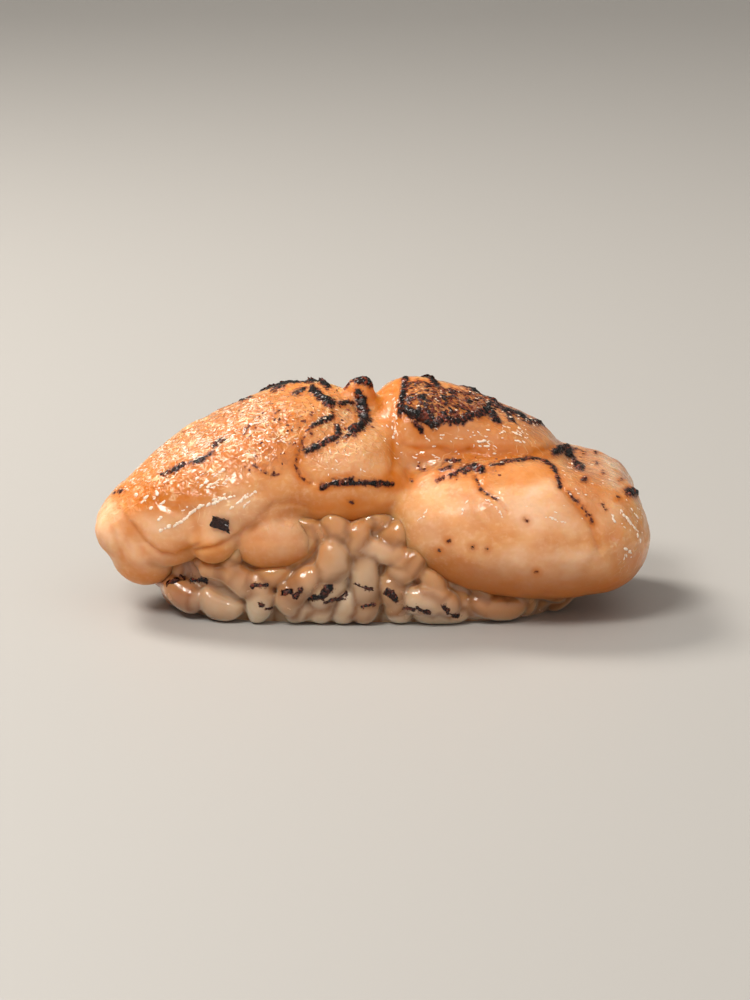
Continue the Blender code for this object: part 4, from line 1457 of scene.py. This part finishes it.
def grain_points(pattern, place, along, length, width, proud, draw):
    """One grain's points on the core, pressed down where the flesh lies on it."""
    out = Vector(outward(np.array([place]), core_gap)[0])
    along = (along - out * along.dot(out)).normalized()
    turn = np.array((along.cross(out), out, along))
    depth = GRAIN_DEPTH * width / GRAIN_WIDTH
    points = plump(pattern, width, depth, length, draw)
    points = points @ turn + np.array(place + out * depth * proud)
    above = np.clip(0.35 - flesh_gap(points), 0, 1.5) * ramp(core_gap(points), 0.3, 1.2)
    points -= np.array(out) * above[:, None]
    points[:, 2] += max(0.0, 0.04 - points[:, 2].min())
    return points


def fused(piece, cell):
    """Joins the piece's overlapping solids into one skin with soft seams."""
    fuse = piece.modifiers.new("fuse", "REMESH")
    fuse.mode = "VOXEL"
    fuse.voxel_size = cell * MM
    soften = piece.modifiers.new("soften", "SMOOTH")
    soften.factor = 0.5
    soften.iterations = 1
    apply_modifiers(piece)


def rice_solids(draw):
    """The core with its grains, where each grain is, and how milky each is."""
    pattern, sides = ball_pattern(*GRAIN_SIDES)
    pattern = np.array(pattern)
    bm = core_mesh(CORE_FINENESS, RICE_CORE_LARGER)
    where = KDTree(MOST_MARKS)
    milks, taken = [], []
    fronts = list(front_places())
    for index, (place, along, length, width) in enumerate(fronts + list(row_places(draw))):
        in_front = index < len(fronts)
        if not in_front and any((place - t).length < clear for t, clear in taken):
            continue
        proud = draw.uniform(*(FRONT_PROUD if in_front else ROW_PROUD))
        points = grain_points(pattern, place, along, length, width, proud, draw)
        if flesh_gap(points).max() < LEAST_OUT:
            continue
        add_copy(bm, [Vector(p) * MM for p in points], sides)
        for share in (-0.3, 0.0, 0.3):
            where.insert(Vector(points.mean(axis=0)) + along * share * length, len(milks))
        taken.append((place, FRONT_CLEAR if in_front else ROW_CLEAR))
        milks.append(1.0 if index == 0 else draw.uniform(0.0, 0.85))
    where.balance()
    return bm, where, np.array(milks)


def grain_shares(points, where):
    """The grain that each point is part of, and 1 at the seams between two of them."""
    own, apart = [], []
    for point in points:
        near = where.find_n(point, 7)
        grain = near[0][1]
        others = [n[2] for n in near if n[1] != grain]
        own.append(grain)
        apart.append(min(others, default=9.0) - near[0][2])
    return np.array(own), 1 - ramp(np.array(apart), 0.0, 0.8)


def paint_rice(piece, where, milks):
    """Keeps how milky, amber, stained and charred the rice is at each point, with painted shade
    in the seams between grains and low down, and the amber partly a painted glow of light
    through the flesh.
    """
    points = points_mm(piece.data.vertices)
    front = photo_places(points)
    shown = facing(outward(points, core_gap), points) > SHOWN
    own, painted_seam_shade = grain_shares(points, where)
    near = 1 - ramp(flesh_gap(points), 0.3, 5.5)
    corner = (1 - ramp(points[:, 0], -23, -17)) * (points[:, 1] < 0)
    low = 1 - ramp(points[:, 2], 1, 8)
    paint(piece, "milk", milks[own] * (1 - 0.5 * near))
    # Painted shade in the seams between grains and towards the bottom.
    paint(piece, "painted_seam_shade", np.clip(0.55 * painted_seam_shade + 0.25 * low, 0, 0.8))
    # Amber near the flesh: partly soaked-in juice, partly a painted glow of light through the
    # flesh.
    paint(piece, "soak_and_glow", np.clip(0.8 * near, 0, 1))
    paint(piece, "stain", 0.6 * corner * ramp(noise_at(points, 5.0, 9), -0.3, 0.3))
    paint(piece, "char", np.where(shown, char_depth(front, RICE_FLECKS), NO_CHAR))


def make_rice():
    """Grains of rice pressed onto their core, sticking together where they touch."""
    bm, where, milks = rice_solids(random.Random(RICE_SEED))
    piece = new_piece("rice_grains", bm, rice_material())
    fused(piece, RICE_CELL)
    paint_rice(piece, where, milks)
    smooth(piece)
    return piece


def make_rice_flecks(rice):
    """Thin dark flakes that lie on the grains."""
    draw = random.Random(FLECK_SEED)
    bm = bmesh.new()
    embers = add_spots(bm, rice, flake_places(RICE_FLECKS, draw, 2.4), draw)
    piece = new_piece("rice_char", bm, crust_material())
    paint(piece, "ember", embers)
    smooth(piece)
    return piece


# Stage, light and camera.


def add_light(name, place, energy, size, colour):
    light = bpy.data.lights.new(name, "AREA")
    light.energy = energy
    light.size = size
    light.color = colour
    lamp = bpy.data.objects.new(name, light)
    bpy.context.scene.collection.objects.link(lamp)
    lamp.location = place
    direction = Vector(LIT_PLACE) - Vector(place)
    lamp.rotation_euler = direction.to_track_quat("-Z", "Y").to_euler()


def make_floor():
    """A pale sweep: level under the object, curving up behind it."""
    bm = bmesh.new()
    profile = [(FLOOR_FRONT, 0.0), (SWEEP_FROM, 0.0)]
    for step in range(1, SWEEP_STEPS + 1):
        angle = math.radians(90 * step / SWEEP_STEPS)
        rise = SWEEP_RADIUS - SWEEP_RADIUS * math.cos(angle)
        profile.append((SWEEP_FROM + SWEEP_RADIUS * math.sin(angle), rise))
    profile.append((SWEEP_FROM + SWEEP_RADIUS, WALL_TOP))
    rows = [[bm.verts.new((x, y, z)) for x in (-FLOOR_SIDE, FLOOR_SIDE)] for y, z in profile]
    for low, high in zip(rows, rows[1:]):
        bm.faces.new((low[0], low[1], high[1], high[0]))
    floor = new_piece("floor", bm, floor_material())
    smooth(floor)
    floor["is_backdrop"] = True


def set_stage():
    make_floor()
    for name, settings in LIGHTS.items():
        add_light(name, *settings)
    world = bpy.data.worlds.new("studio")
    bpy.context.scene.world = world
    world.use_nodes = True
    background = world.node_tree.nodes["Background"]
    background.inputs["Color"].default_value = WORLD_COLOUR
    background.inputs["Strength"].default_value = WORLD_STRENGTH
    bpy.context.scene.view_settings.view_transform = "Standard"


def set_camera():
    eye, _, _, back = eye_axes()
    data = bpy.data.cameras.new("photo_camera")
    data.lens = SENSOR_MM * EYE_AWAY / (PHOTO_SIZE[1] / PIXELS_PER_MM)
    data.sensor_width = SENSOR_MM
    data.clip_start = 0.01
    camera = bpy.data.objects.new("photo_camera", data)
    bpy.context.scene.collection.objects.link(camera)
    camera.location = (Vector(eye) + Vector(SHIFT)) * MM
    camera.rotation_euler = Vector(-back).to_track_quat("-Z", "Y").to_euler()
    bpy.context.scene.camera = camera


def main():
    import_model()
    cad_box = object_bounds()
    flesh = make_flesh()
    crust = make_crust(flesh)
    tile = make_tile(flesh)
    beads = make_beads(flesh)
    rice = make_rice()
    flecks = make_rice_flecks(rice)
    for piece in (flesh, crust, tile, beads, rice, flecks):
        piece.data.transform(Matrix.Translation(Vector(SHIFT) * MM))
        piece.data.update()
        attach(piece, "root")
    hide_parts("scallop")
    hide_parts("rice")
    set_stage()
    set_camera()
    boxes = {"cad": cad_box, "visual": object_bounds()}
    sizes = {name: [list(corner) for corner in box] for name, box in boxes.items()}


main()
